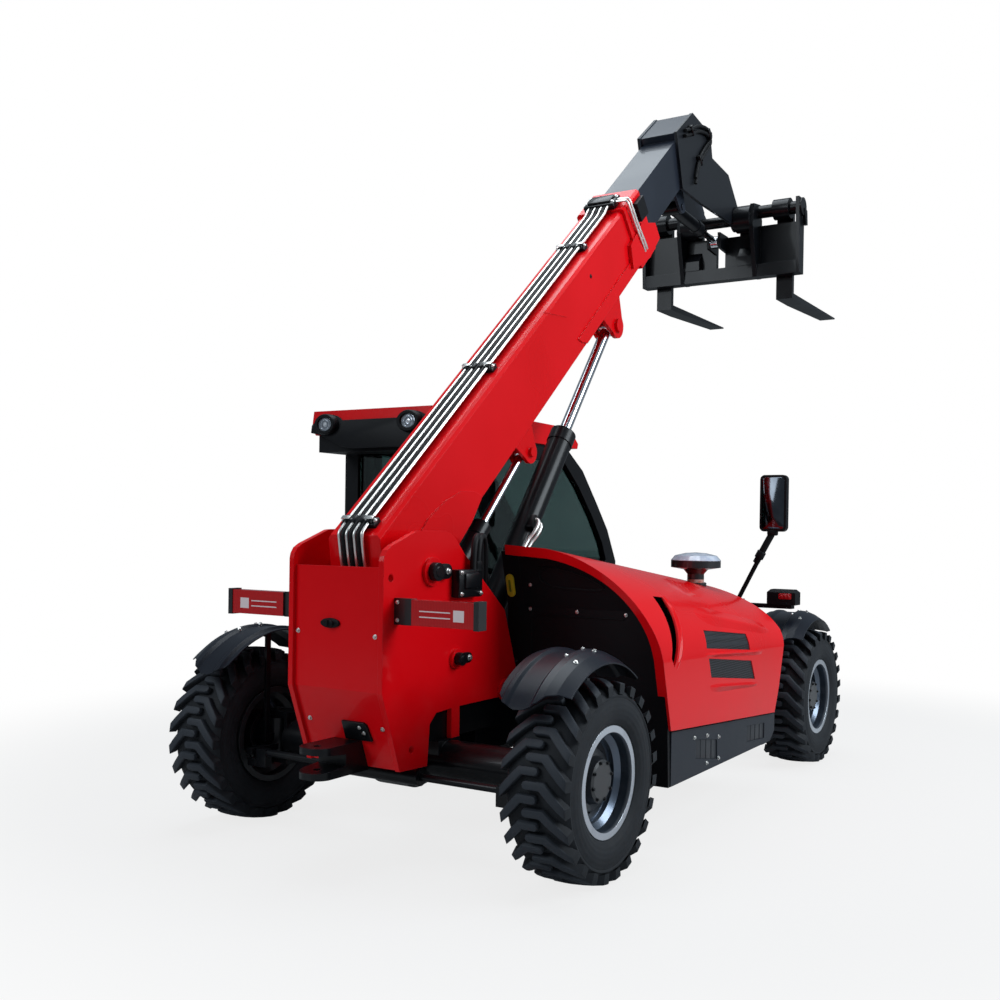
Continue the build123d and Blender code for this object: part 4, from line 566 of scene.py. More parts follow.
def pipeMesh(points, radius, sides=6):
    # A bent pipe: the points are the corners that its bends cut
    curve = bpy.data.curves.new("pipeLine", "CURVE")
    curve.dimensions = "3D"
    curve.bevel_depth = radius
    curve.bevel_resolution = sides
    curve.use_fill_caps = True
    curve.resolution_u = 6
    line = curve.splines.new("NURBS")
    line.points.add(len(points) - 1)
    for spot, place in zip(line.points, points):
        spot.co = (*place, 1)
    line.order_u = 3
    line.use_endpoint_u = True
    holder = bpy.data.objects.new("pipeLine", curve)
    bpy.context.scene.collection.objects.link(holder)
    data = bpy.data.meshes.new_from_object(holder.evaluated_get(bpy.context.evaluated_depsgraph_get()))
    bpy.data.objects.remove(holder)
    bpy.data.curves.remove(curve)
    return data


def addPipe(mesh, points, radius, sides=6):
    data = pipeMesh(points, radius, sides)
    mesh.from_mesh(data)
    bpy.data.meshes.remove(data)


# Tyres: a spun casing with two staggered rows of bent lugs
tyreLook = {"lugs": 24, "width": 0.307, "lugRound": 0.004, "crownDrop": 0.62, "spinSteps": 120,
            "innerSlim": 0.012}


def crownAt(width):
    return tyreRadius - tyreLook["crownDrop"] * width * width


def tyreMesh(centre, outward):
    mesh = bmesh.new()
    half = tyreLook["width"] / 2
    side = [(0.206, half - 0.035), (0.226, half - 0.034), (0.236, half - 0.020), (0.262, half - 0.007),
            (0.290, half - 0.001), (0.318, half - 0.002), (0.342, half - 0.008), (0.346, half - 0.005),
            (0.352, half - 0.005), (0.358, half - 0.011), (0.368, half - 0.020), (0.378, half - 0.040),
            (0.384, half - 0.075), (0.386, 0.0)]
    profile = side + [(r, tyreLook["innerSlim"] - w) for r, w in reversed(side[:-1])]
    points = [mesh.verts.new((r, outward * w, 0)) for r, w in profile]
    edges = [mesh.edges.new(pair) for pair in zip(points, points[1:])]
    bmesh.ops.spin(mesh, geom=points + edges, cent=(0, 0, 0), axis=(0, 1, 0), angle=2 * math.pi,
                   steps=tyreLook["spinSteps"],
                   use_merge=True)
    bmesh.ops.remove_doubles(mesh, verts=mesh.verts[:], dist=1e-5)
    bmesh.ops.recalc_face_normals(mesh, faces=mesh.faces[:])

    lug = bmesh.new()
    outline = [(-0.018, 0.066), (-0.0295, 0.0615), (-0.034, 0.050), (-0.0295, 0.0385), (-0.018, 0.034),
               (0.012, 0.034), (0.042, 0.034), (0.080, -0.002), (0.118, -0.038), (0.1532, -0.070),
               (0.1532, -0.026), (0.122, 0.006), (0.091, 0.036), (0.060, 0.066), (0.020, 0.066)]
    floor = lug.faces.new([lug.verts.new((w, s, 0)) for w, s in outline])
    raised = bmesh.ops.extrude_face_region(lug, geom=[floor])["geom"]
    top = [v for v in raised if isinstance(v, bmesh.types.BMVert)]
    bmesh.ops.translate(lug, vec=(0, 0, 1), verts=top)
    bmesh.ops.delete(lug, geom=[floor], context="FACES_ONLY")
    for vert in lug.verts:  # the flank leans out below the top
        w, s = vert.co.x, vert.co.y
        crown = crownAt(w)
        if vert.co.z > 0.5:
            vert.co.z = crown
        else:
            lean = 0.005 if w < 0.15 else 0.0
            middle = 0.050 if w < 0.05 else 0.050 - (w - 0.050) * 0.97
            vert.co.y += lean if s > middle else -lean
            vert.co.z = 0.380 if w < 0.10 else 0.380 - (w - 0.10) * 0.42
    bmesh.ops.recalc_face_normals(lug, faces=lug.faces[:])
    roundEdges(lug, [e for e in lug.edges if all(v in top for v in e.verts)], tyreLook["lugRound"])
    bmesh.ops.triangulate(lug, faces=[f for f in lug.faces if len(f.verts) > 4])
    shape = bpy.data.meshes.new("lugShape")
    lug.to_mesh(shape)
    lug.free()

    step = 2 * math.pi / tyreLook["lugs"]
    for row, offset in ((1, 0.0), (-0.93, 0.5)):
        for i in range(tyreLook["lugs"]):
            start = len(mesh.verts)
            mesh.from_mesh(shape)
            mesh.verts.ensure_lookup_table()
            for vert in mesh.verts[start:]:
                w, s, r = vert.co
                turn = s / tyreRadius + (i + offset) * step
                vert.co = (-r * math.cos(turn), row * outward * w, r * math.sin(turn))
    bpy.data.meshes.remove(shape)
    bmesh.ops.translate(mesh, vec=centre, verts=mesh.verts[:])
    return mesh


for wheelName, (wheelX, hand) in wheelNames.items():
    tyre = tyreMesh(at(wheelX, hand * wheelPlane, tyreRadius), hand)
    bmesh.ops.recalc_face_normals(tyre, faces=tyre.faces[:])
    piece = newPiece(wheelName + "_luggedTyre", tyre, wheelName + "Rubber", wheelName + "_wheel",
                     40)
    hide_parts(wheelName + "_tyre")
print("tyres made")


# Hub bolts and wheel nuts on each disc
hubLook = {"capBolts": 8, "capCircle": 0.078, "capFace": 0.098, "capBolt": 0.008, "capTurn": 0.3,
           "nuts": 8, "nutCircle": 0.128, "nutFace": 0.034, "nut": 0.014}


def addHubBolts(mesh, centre, hand):
    out = Vector((0, hand, 0))
    for i in range(hubLook["capBolts"]):
        turn = 2 * math.pi * (i + hubLook["capTurn"]) / hubLook["capBolts"]
        spot = Vector((math.cos(turn), 0, math.sin(turn)))
        addBolt(mesh, centre + spot * hubLook["capCircle"] + out * hubLook["capFace"], out,
                hubLook["capBolt"])
    for i in range(hubLook["nuts"]):
        turn = 2 * math.pi * i / hubLook["nuts"]
        spot = Vector((math.cos(turn), 0, math.sin(turn)))
        addBolt(mesh, centre + spot * hubLook["nutCircle"] + out * hubLook["nutFace"], out, hubLook["nut"])


for wheelName, (wheelX, hand) in wheelNames.items():
    bolts = bmesh.new()
    addHubBolts(bolts, at(wheelX, hand * wheelPlane, tyreRadius), hand)
    newPiece(wheelName + "_wheelBolts", bolts, "blackPaint", wheelName + "_wheel")
print("wheel bolts made")


# Seats for small parts: a straight line is followed until it meets a CAD node
skins = {}


def seatOn(nodeName, start, direction):
    # The point met first, and its normal turned to face back along the line
    if nodeName not in skins:
        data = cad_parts[nodeName].data
        skins[nodeName] = BVHTree.FromPolygons([v.co.copy() for v in data.vertices],
                                               [tuple(p.vertices) for p in data.polygons])
    direction = Vector(direction).normalized()
    point, normal, index, reach = skins[nodeName].ray_cast(Vector(start), direction)
    if point is None:
        raise ValueError(f"nothing of {nodeName} lies at {tuple(start)}")
    return point, -normal if normal.dot(direction) > 0 else normal


def facing(point, normal, upright=(0, 0, 1)):
    # Z along the normal, Y as near upright as can be
    z = Vector(normal).normalized()
    x = Vector(upright).cross(z).normalized()
    return Matrix.Translation(point) @ Matrix((x, z.cross(x), z)).transposed().to_4x4()


def roundBar(length, radius, steps=7):
    # Outline of a bar with round ends, its first end at the origin
    turns = [math.pi / 2 + math.pi * i / steps for i in range(steps + 1)]
    first = [(radius * math.cos(t), radius * math.sin(t)) for t in turns]
    return first + [(length - x, -y) for x, y in first]


def oval(wide, high, steps=28):
    turns = [2 * math.pi * i / steps for i in range(steps)]
    return [(wide * math.cos(t), high * math.sin(t)) for t in turns]


# Bright bolts: each row is seated on one node by lines in one direction
boltRows = {
    "towerBolts": {"node": "rear_tower", "body": "chassis", "line": (1, 0, 0), "size": 0.010,
                   "spots": [(-0.60, 0.215, 0.987), (-0.60, -0.206, 0.985), (-0.60, 0.19, 0.61),
                             (-0.60, -0.205, 0.60)]},
    "panelBolts": {"node": "engine_bay", "body": "chassis", "line": (1, 0, 0), "size": 0.009,
                   "spots": [(0.30, -0.301, 1.047), (0.30, -0.561, 1.045), (0.30, -0.82, 1.043),
                             (0.30, -0.315, 1.165)]},
    "skirtBolts": {"node": "side_skirt", "body": "chassis", "line": (0, 1, 0), "size": 0.010,
                   "spots": [(0.912, -1.2, 0.450), (1.07, -1.2, 0.436), (1.216, -1.2, 0.408),
                             (1.218, -1.2, 0.300), (1.068, -1.2, 0.302)]},
    "lampBolts": {"node": "tail_lamps", "body": "chassis", "line": (1, 0, 0), "size": 0.009,
                  "spots": [(-0.60, side * 0.274, z) for side in (-1, 1) for z in (1.054, 1.127)]},
}
fenderSpots = [(-0.121, 0.915), (-0.150, 0.975), (0.013, 0.915), (0.027, 0.960)]
for wheelName, (wheelX, hand) in wheelNames.items():
    boltRows[wheelName + "_fenderBolts"] = {
        "node": wheelName + "_fender", "body": wheelName + "_steer", "line": (0, 0, -1), "size": 0.010,
        "spots": [(wheelX + x, hand * y, 1.3) for x, y in fenderSpots]}
for rowName, row in boltRows.items():
    bolts = bmesh.new()
    for spot in row["spots"]:
        point, normal = seatOn(row["node"], at(*spot), row["line"])
        addBolt(bolts, point, normal, row["size"])
    newPiece(rowName, bolts, "zincPlate", row["body"])
print("bolt rows made,", len(boltRows))


# Pipes on the boom's top: four bright pipes and three hoses in clamps, bent over both ends
pipeLook = {"pitch": 0.042, "radius": 0.0072, "hoseRadius": 0.0105, "top": 0.250, "rise": 0.026,
            "clamps": (-0.010, 1.151, 2.350), "clampLength": 0.050, "guideFrom": 2.815, "guideTo": 2.930,
            "sidePitch": 0.030, "sideFace": -0.168}


def onBoom(u, y, v):
    return alongBoom() @ Vector((u, y, v))


def pipeRun(y):
    # Up over the rear corner, along the top and into the guide block
    v = pipeLook["top"] + pipeLook["rise"]
    guide = pipeLook["guideFrom"]
    spots = [(-0.152, 0.120), (-0.130, 0.168), (-0.080, 0.246), (-0.066, 0.268), (-0.040, v), (0.10, v),
             (1.4, v), (guide - 0.12, v), (guide - 0.06, v + 0.002), (guide - 0.03, v + 0.014),
             (guide + 0.05, v + 0.016)]
    return [onBoom(u, y, high) for u, high in spots]


def makeBoomPipes():
    pipes = bmesh.new()
    for i in range(4):
        addPipe(pipes, pipeRun((i - 1.5) * pipeLook["pitch"]), pipeLook["radius"])
    for i in range(2):
        u = pipeLook["guideTo"] - 0.07 + i * pipeLook["sidePitch"]
        face = pipeLook["sideFace"]
        spots = [(u, -0.070, 0.292), (u, -0.130, 0.292), (u, face - 0.004, 0.290), (u, face - 0.006, 0.240),
                 (u + 0.01, face - 0.004, 0.10), (u + 0.03, face - 0.004, -0.02),
                 (u + 0.04, face + 0.002, -0.06)]
        addPipe(pipes, [onBoom(*spot) for spot in spots], 0.008)
    piece = newPiece("boomPipes", pipes, "pipeSteel", "outer_boom_body")
    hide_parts("boom_hoses")

    hoses = bmesh.new()
    for y in (-pipeLook["pitch"], 0.0, pipeLook["pitch"]):
        lower = [spot - onBoom(0, 0, 0.004) + onBoom(0, 0, 0) for spot in pipeRun(y)]
        addPipe(hoses, lower, pipeLook["hoseRadius"])
    newPiece("boomHoseLines", hoses, "hoseRubber", "outer_boom_body")


def makeBoomClamps():
    turn = alongBoom().to_3x3().to_4x4()
    blocks = bmesh.new()
    straps = bmesh.new()
    long, pitch, top = pipeLook["clampLength"], pipeLook["pitch"], pipeLook["top"]
    for u in pipeLook["clamps"]:
        middle = u + long / 2
        addBlock(blocks, onBoom(middle, 0, top + 0.010), (long, 4 * pitch + 0.016, 0.024), 0.003, turn)
        for i in range(4):
            y = (i - 1.5) * pitch
            addRod(blocks, onBoom(u + 0.004, y, top + 0.024), onBoom(u + long - 0.004, y, top + 0.024),
                   0.0165, 20, 0.002)
        for y in (-2 * pitch - 0.002, -pitch, pitch, 2 * pitch + 0.002):
            addBolt(straps, onBoom(middle, y, top + 0.024), turn @ Vector((0, 0, 1)), 0.010)
        addBlock(straps, onBoom(middle, -1.5 * pitch, top + 0.042), (0.020, pitch * 1.1, 0.004), 0.001,
                 turn)
        addBlock(straps, onBoom(middle, 1.5 * pitch, top + 0.042), (0.020, pitch * 1.1, 0.004), 0.001, turn)
    low, start, end = top + 0.016, pipeLook["guideFrom"], pipeLook["guideTo"]
    addBlock(blocks, onBoom((start + end) / 2, 0, low + 0.020), (end - start, 0.20, 0.040), 0.006, turn)
    addBlock(blocks, onBoom((start + end) / 2, 0, low + 0.046), (end - start - 0.03, 0.15, 0.014), 0.005,
             turn)
    for y in (-0.085, 0.085):
        for u in (start + 0.025, end - 0.025):
            addBolt(straps, onBoom(u, y, low + 0.040), turn @ Vector((0, 0, 1)), 0.011)
    newPiece("boomClamps", blocks, "blackPaint", "outer_boom_body")
    newPiece("boomClampBolts", straps, "zincPlate", "outer_boom_body")


def makeBoomWelds():
    # Weld bead down the boom's side and the small inspection hole's plug
    side = -0.1425
    bead = bmesh.new()
    spots = [(1.700, -0.128, 0.2505), (1.716, side, 0.236), (1.735, side, 0.222), (1.86, side, 0.125)]
    addPipe(bead, [onBoom(*spot) for spot in spots], 0.0035)
    newPiece("boomWeld", bead, "redPaint", "outer_boom_body")
    plug = bmesh.new()
    addRod(plug, onBoom(2.24, side + 0.004, 0.150), onBoom(2.24, side - 0.001, 0.150), 0.012, 24, 0.0006)
    addRod(plug, onBoom(2.24, side, 0.150), onBoom(2.24, side - 0.004, 0.150), 0.006, 6, 0.0006)
    newPiece("boomPlug", plug, "blackPlastic", "outer_boom_body")


makeBoomPipes()
makeBoomClamps()
makeBoomWelds()
print("boom pipes made")


# Keeper plates and pin heads on the tower's bosses, the rear latch and the hitch plate
keeperLook = {"face": 0.271, "thick": 0.012,
              "pins": {"pivot": (-0.150, 1.245, 0.047, 0.086, 0), "level": (0.035, 0.855, 0.034, 0.070, 0),
                       "lift": (0.430, 0.670, 0.036, 0.064, 35)}}


def makeKeepers():
    plates = bmesh.new()
    bolts = bmesh.new()
    for x, z, radius, reach, lean in keeperLook["pins"].values():
        for hand in (-1, 1):
            out = Vector((0, hand, 0))
            ahead = Vector((math.cos(math.radians(lean)), 0, math.sin(math.radians(lean))))
            centre = at(x, hand * keeperLook["face"], z)
            up = out.cross(ahead)
            addPlate(plates, roundBar(reach, radius * 0.72), keeperLook["thick"], facing(centre, out, up),
                     0.003)
            profile = [(0, 0.034), (radius * 0.45, 0.034), (radius * 0.50, 0.030), (radius * 0.82, 0.030),
                       (radius * 0.86, 0.026), (radius * 0.86, 0.0)]
            addTurned(plates, profile, facing(centre, out), 32)
            addBolt(bolts, centre + ahead * reach + out * keeperLook["thick"], out, 0.014)
    newPiece("pinKeepers", plates, "blackPaint", "chassis")
    newPiece("pinKeeperBolts", bolts, "zincPlate", "chassis")


def makeTowerTrim():
    latch = bmesh.new()
    point, normal = seatOn("rear_tower", at(-0.60, 0.033, 1.029), (1, 0, 0))
    addPlate(latch, oval(0.052, 0.021), 0.010, facing(point, normal), 0.004)
    addPlate(latch, oval(0.026, 0.016), 0.020, facing(point, normal), 0.004)
    addBlock(latch, point + normal * 0.022, (0.010, 0.008, 0.030), 0.002)
    newPiece("towerLatch", latch, "blackPlastic", "chassis")

    hitch = bmesh.new()
    point, normal = seatOn("rear_tower", at(-0.60, -0.068, 0.583), (1, 0, 0))
    addPlate(hitch, [(-0.072, -0.044), (0.072, -0.044), (0.060, 0.030), (0.046, 0.040), (-0.072, 0.040)],
             0.012,
             facing(point, normal), 0.003)
    newPiece("hitchPlate", hitch, "blackPaint", "chassis")
    bolts = bmesh.new()
    place = facing(point + normal * 0.012, normal)
    for x, y in ((0.022, 0.018), (0.040, -0.006)):
        addBolt(bolts, place @ Vector((x, y, 0)), normal, 0.009)
    newPiece("hitchBolts", bolts, "zincPlate", "chassis")


makeKeepers()
makeTowerTrim()
print("tower trim made")


# Ridges pressed in the hood's side: a crease, two sills under the grilles and the rim of the slash vent
ridgeLook = {
    "crease": {"start": (1.07, 1.025), "end": (1.96, 0.886), "above": (0.060, 0.050),
               "below": (0.055, 0.026), "reach": 0.015},
    "upperSill": {"start": (0.988, 0.838), "end": (1.778, 0.790), "above": (0.012, 0.008),
                  "below": (0.013, 0.024), "reach": 0.019},
    "lowerSill": {"start": (1.051, 0.678), "end": (1.711, 0.619), "above": (0.012, 0.012),
                  "below": (0.034, 0.014), "reach": 0.019},
    "ventRim": {"start": (0.880, 1.130), "end": (0.650, 0.800), "above": (0.014, 0.012),
                "below": (0.030, 0.020), "reach": 0.008},
}


def addRidge(mesh, look, steps=24):
    start, end = Vector(look["start"]), Vector(look["end"])
    line = (end - start).normalized()
    across = Vector((-line.y, line.x)) * (1 if line.x > 0 else -1)
    rows = []
    for i in range(steps + 1):
        share = i / steps
        middle = start.lerp(end, share)
        above = look["above"][0] + (look["above"][1] - look["above"][0]) * share
        below = look["below"][0] + (look["below"][1] - look["below"][0]) * share
        lift = look["reach"] * min(1, 6 * share, 6 * (1 - share))
        row = []
        for spot, out in ((middle + across * above, -0.002), (middle + across * above * 0.15, lift * 0.9),
                          (middle, lift), (middle - across * below * 0.2, lift * 0.8),
                          (middle - across * below, -0.002)):
            point, normal = seatOn("engine_hood", at(spot.x, -1.5, spot.y), (0, 1, 0))
            row.append(mesh.verts.new(point + normal * out))
        rows.append(row)
    for first, second in zip(rows, rows[1:]):
        for i in range(len(first) - 1):
            mesh.faces.new((first[i], first[i + 1], second[i + 1], second[i]))


def makeHoodRidges():
    mesh = bmesh.new()
    for look in ridgeLook.values():
        addRidge(mesh, look)
    bmesh.ops.recalc_face_normals(mesh, faces=mesh.faces[:])
    newPiece("hoodRidges", mesh, "redPaint", "hood", 50)


makeHoodRidges()
print("hood ridges made")


# Padded seat: pedestal, cushion, back and head rest, with arm rests
seatLook = {"middleY": 0.615, "armY": 0.212,
            "cushions": {"cushion": (1.125, 1.020, (0.49, 0.44, 0.13), -4, 0.030),
                         "back": (0.905, 1.290, (0.54, 0.42, 0.11), -82, -0.022),
                         "headRest": (0.868, 1.575, (0.13, 0.26, 0.08), -84, -0.006)},
            "blocks": {"slide": (1.10, 0.745, (0.36, 0.34, 0.12), 0.02),
                       "pedestal": (1.11, 0.865, (0.30, 0.28, 0.14), 0.02),
                       "pan": (1.12, 0.945, (0.44, 0.40, 0.04), 0.012)}}


def addCushion(mesh, centre, size, lean, hollow):
    # A block with full round edges, dished along its middle
    part = bmesh.new()
    bmesh.ops.create_cube(part, size=1, matrix=Matrix.Diagonal((*size, 1)))
    bmesh.ops.subdivide_edges(part, edges=part.edges[:], cuts=9, use_grid_fill=True)
    half = Vector(size) / 2
    for vert in part.verts:
        share = [abs(vert.co[k]) / half[k] for k in range(3)]
        for k in range(3):
            others = [share[j] ** 4 for j in range(3) if j != k]
            vert.co[k] *= 1 - 0.09 * sum(others)
        vert.co.z -= hollow * max(0, 1 - share[1] ** 2) * max(0, 1 - share[0] ** 2) * (vert.co.z > 0)
    joinInto(mesh, part, Matrix.Translation(centre) @ Matrix.Rotation(math.radians(lean), 4, "Y"))


def makeSeat():
    y, armY = seatLook["middleY"], seatLook["armY"]
    cushions = bmesh.new()
    for x, z, size, lean, hollow in seatLook["cushions"].values():
        addCushion(cushions, at(x, y, z), size, lean, hollow)
    seat = newPiece("seatCushions", cushions, "seatCloth", "chassis", 60)
    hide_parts("operator_seat")
    base = bmesh.new()
    for x, z, size, edge in seatLook["blocks"].values():
        addBlock(base, at(x, y, z), size, edge)
    for hand in (-1, 1):
        addBlock(base, at(1.06, y + hand * armY, 1.19), (0.26, 0.05, 0.045), 0.018)
        addRod(base, at(0.94, y + hand * armY, 1.18), at(0.96, y + hand * armY, 0.95), 0.014, 16)
    newPiece("seatBase", base, "blackPlastic", "chassis")


makeSeat()
print("seat made")


# Roof: black valance with a hump over each lamp, lamp rings and the hatch's cover
roofLook = {"rearX": 0.447, "kneeZ": 1.948, "lean": 0.149, "lamps": (0.330, 0.880), "lampZ": 1.966,
            "hump": 0.078, "top": 1.966, "low": 1.836, "thick": 0.007}


def valanceOutline():
    # Seen from behind, the machine's left is on the left
    left, right = 0.996, 0.229
    outline = []
    for lampY in reversed(roofLook["lamps"]):
        for degrees in range(150, 29, -15):
            turn = math.radians(degrees)
            y = lampY + roofLook["hump"] * math.cos(turn) * 1.35
            z = roofLook["lampZ"] - 0.012 + roofLook["hump"] * 0.86 * math.sin(turn)
            outline.append((min(left, max(right, 2 * lampY - y)),
                            max(roofLook["top"] if 0.5 < y < 0.75 else 0, z)))
    outline = [(left, 1.925), (left, 1.965)] + sorted(outline, key=lambda spot: -spot[0])
    outline += [(right, 1.965), (right, roofLook["low"]), (0.700, roofLook["low"]), (0.775, 1.846),
                (0.840, 1.876), (0.930, 1.912)]
    return outline


def makeRoofTrim():
    valance = bmesh.new()
    normal = Vector((-1, 0, roofLook["lean"])).normalized()
    place = facing(at(roofLook["rearX"], 0, roofLook["kneeZ"]), normal)
    addPlate(valance, [(-y, z - roofLook["kneeZ"]) for y, z in valanceOutline()], roofLook["thick"], place,
             0.002)
    newPiece("roofValance", valance, "blackPlastic", "chassis")
    rims = bmesh.new()
    for y in roofLook["lamps"]:
        point, normal = seatOn("work_lamps", at(0, y, roofLook["lampZ"]), (1, 0, 0))
        profile = [(0.045, -0.004), (0.045, 0.004), (0.049, 0.010), (0.066, 0.010), (0.072, 0.002),
                   (0.073, -0.030)]
        addTurned(rims, profile, facing(point, normal) @ Matrix.Diagonal((1, 0.76, 1, 1)), 40)
    newPiece("lampRims", rims, "blackPlastic", "chassis")
    hatch = bmesh.new()
    addBlock(hatch, at(1.24, 0.6125, 2.066), (0.54, 0.468, 0.036), 0.010)
    addBlock(hatch, at(1.24, 0.6125, 2.082), (0.44, 0.37, 0.010), 0.004)
    newPiece("roofHatch", hatch, "blackPlastic", "chassis")


makeRoofTrim()
print("roof trim made")


# Sheets: the liner behind the slash vent, and the panel beside the hood that carries the sight gauge
sheetLook = {"vent": ((0.745, 1.165), (1.030, 1.150), (0.780, 0.765), (0.582, 0.850)), "ventDepth": 0.032,
             "panelSides": (-0.312, -0.172), "panelHeights": (0.80, 1.06, 1.325), "gauge": (-0.206, 1.160),
             "recess": ((-0.372, 1.253), (-0.477, 1.256), (-0.627, 1.218), (-0.752, 1.156), (-0.601, 1.150),
                        (-0.377, 1.165))}


def panelPoint(y, z, out=0.0):
    # The bay's rear panel stands upright and leans back above 1.06 m
    return at(0.585 - 0.2477 * max(0, z - 1.06) - out, y, z)


def addSheet(mesh, rows, thick):
    part = bmesh.new()
    made = [[part.verts.new(spot) for spot in row] for row in rows]
    for first, second in zip(made, made[1:]):
        for i in range(len(first) - 1):
            part.faces.new((first[i], first[i + 1], second[i + 1], second[i]))
    bmesh.ops.recalc_face_normals(part, faces=part.faces[:])
    bmesh.ops.solidify(part, geom=part.faces[:], thickness=thick)
    joinInto(mesh, part, Matrix.Identity(4))


def makeSheets():
    liner = bmesh.new()
    inward = Vector((0, sheetLook["ventDepth"], 0))
    corners = [seatOn("engine_hood", at(x, -1.5, z), (0, 1, 0))[0] + inward for x, z in sheetLook["vent"]]
    rows = []
    for i in range(9):
        rear, front = corners[0].lerp(corners[3], i / 8), corners[1].lerp(corners[2], i / 8)
        rows.append([rear.lerp(front, k / 4) for k in range(5)])
    addSheet(liner, rows, 0.004)
    for i in range(1, 8):
        addRod(liner, rows[i][0] - inward * 0.2, rows[i][4] - inward * 0.2, 0.005, 8)
    newPiece("ventLiner", liner, "blackPlastic", "hood")

    panel = bmesh.new()
    right, left = sheetLook["panelSides"]
    rows = []
    for z in sheetLook["panelHeights"]:
        rows.append([panelPoint(right + (left - right) * k / 3, z) for k in range(4)])
    addSheet(panel, rows, 0.010)
    points = sheetLook["recess"] + sheetLook["recess"][:2]
    addPipe(panel, [panelPoint(y, z, 0.001) for y, z in points], 0.0045)
    addPipe(panel, [panelPoint(-0.33 - 0.06 * i, 1.022, 0.001) for i in range(9)], 0.003)
    newPiece("bayPanelTrim", panel, "blackPlastic", "chassis")

    gauge = bmesh.new()
    y, z = sheetLook["gauge"]
    foot = panelPoint(y, z - 0.036, 0.001)
    normal = Vector((-1, 0, -0.2477)).normalized()
    up = Vector((-0.2477, 0, 1)).normalized()
    place = facing(foot, normal, normal.cross(up))
    addPlate(gauge, roundBar(0.072, 0.021), 0.012, place, 0.003)
    newPiece("sightGauge", gauge, "gaugeYellow", "chassis")
    window = bmesh.new()
    place = facing(panelPoint(y, z - 0.025, 0.001), normal, normal.cross(up))
    addPlate(window, roundBar(0.050, 0.006), 0.0135, place, 0.001)
    newPiece("sightWindow", window, "tintedGlass", "chassis")


skirtVents = {"depth": -1.022, "thick": 0.004,
              "outlines": (((0.929, 0.439), (1.198, 0.396), (1.203, 0.298), (0.933, 0.345)),
                           ((1.610, 0.402), (1.885, 0.380), (1.885, 0.296), (1.614, 0.317)))}


def makeSkirtVents():
    mesh = bmesh.new()
    place = facing(at(0, skirtVents["depth"], 0), (0, -1, 0))
    for outline in skirtVents["outlines"]:
        addPlate(mesh, outline, skirtVents["thick"], place, 0.001)
        rear = Vector(outline[0]).lerp(Vector(outline[3]), 0.5)
        front = Vector(outline[1]).lerp(Vector(outline[2]), 0.5)
        for share in (0.25, 0.5, 0.75):
            spot = rear.lerp(front, share)
            addBlock(mesh, at(spot.x, skirtVents["depth"] - 0.004, spot.y), (0.006, 0.004, 0.092), 0.001)
    newPiece("skirtVentMesh", mesh, "grilleMesh", "chassis")


makeSheets()
makeSkirtVents()
print("sheets made")


# Mirror: glass in the head's rear face, a sleeve on the arm's upper half and its clamp
mirrorSizes = {"face": 2.566, "middle": (-0.818, 1.615), "wide": 0.072, "high": 0.160, "corner": 0.022}


def roundedOutline(wide, high, corner, steps=5):
    outline = []
    for x, y, first in ((wide, high, 0), (-wide, high, 90), (-wide, -high, 180), (wide, -high, 270)):
        middle = (x - math.copysign(corner, x), y - math.copysign(corner, y))
        for i in range(steps + 1):
            turn = math.radians(first + 90 * i / steps)
            outline.append((middle[0] + corner * math.cos(turn), middle[1] + corner * math.sin(turn)))
    return outline


def makeMirror():
    y, z = mirrorSizes["middle"]
    glass = bmesh.new()
    outline = roundedOutline(mirrorSizes["wide"], mirrorSizes["high"], mirrorSizes["corner"])
    addPlate(glass, outline, 0.003, facing(at(mirrorSizes["face"] + 0.001, y, z), (-1, 0, 0)), 0.001)
    newPiece("mirrorGlass", glass, "mirrorSilver", "chassis")
    arm = bmesh.new()
    addRod(arm, at(2.59, -0.806, 1.425), at(2.59, -0.705, 1.243), 0.021, 20, 0.004)
    addRod(arm, at(2.59, -0.745, 1.315), at(2.59, -0.722, 1.273), 0.028, 20, 0.004)
    addBlock(arm, at(2.59, -0.811, 1.435), (0.052, 0.060, 0.040), 0.010)
    newPiece("mirrorSleeve", arm, "blackPlastic", "chassis")
    lenses = bmesh.new()
    for hand in (-1, 1):
        point, normal = seatOn("front_lamps", at(2.2, hand * 0.914, 1.045), (1, 0, 0))
        addPlate(lenses, roundedOutline(0.040, 0.018, 0.006), 0.006, facing(point, normal), 0.002)
        for i in range(-1, 2):
            addTurned(lenses, [(0, 0.009), (0.005, 0.009), (0.007, 0.006), (0.007, 0)],
                      facing(point + Vector((0, i * 0.024, 0)), normal), 12)
    newPiece("frontMarkers", lenses, "lensRed", "chassis")


makeMirror()
print("mirror made")


# Fittings: a port block and two pipes on the lift cylinder, the valve block on the tower, pipes on the neck
valveLook = {"body": ((0.085, -0.279, 1.188), (0.180, 0.048, 0.125)),
             "lid": ((0.085, -0.300, 1.200), (0.110, 0.030, 0.070)),
             "round": 0.008, "hoseShifts": (0.0, 0.034), "hoseRadius": 0.0145, "boltFace": -0.303,
             "bolts": ((0.012, 1.236), (0.012, 1.142), (0.160, 1.142)),
             "hose": ((0.150, -0.290, 1.240), (0.150, -0.290, 1.330), (0.185, -0.280, 1.405),
                      (0.290, -0.230, 1.390), (0.345, -0.200, 1.250), (0.350, -0.195, 1.060))}
fittingLook = {"foot": (0.430, 0.670), "slope": 53.5, "portAt": 0.96, "pipesTo": 0.66, "offset": 0.068,
               "neckSide": -0.144,
               "neckPipe": ((3.94, 0.241), (4.06, 0.200), (4.17, 0.175), (4.31, 0.090), (4.335, 0.012),
                            (4.12, 0.014), (3.99, -0.020), (3.905, -0.073))}


def onLift(along, y, out):
    turn = math.radians(fittingLook["slope"])
    x, z = fittingLook["foot"]
    return at(x + along * math.cos(turn) - out * math.sin(turn), y,
              z + along * math.sin(turn) + out * math.cos(turn))


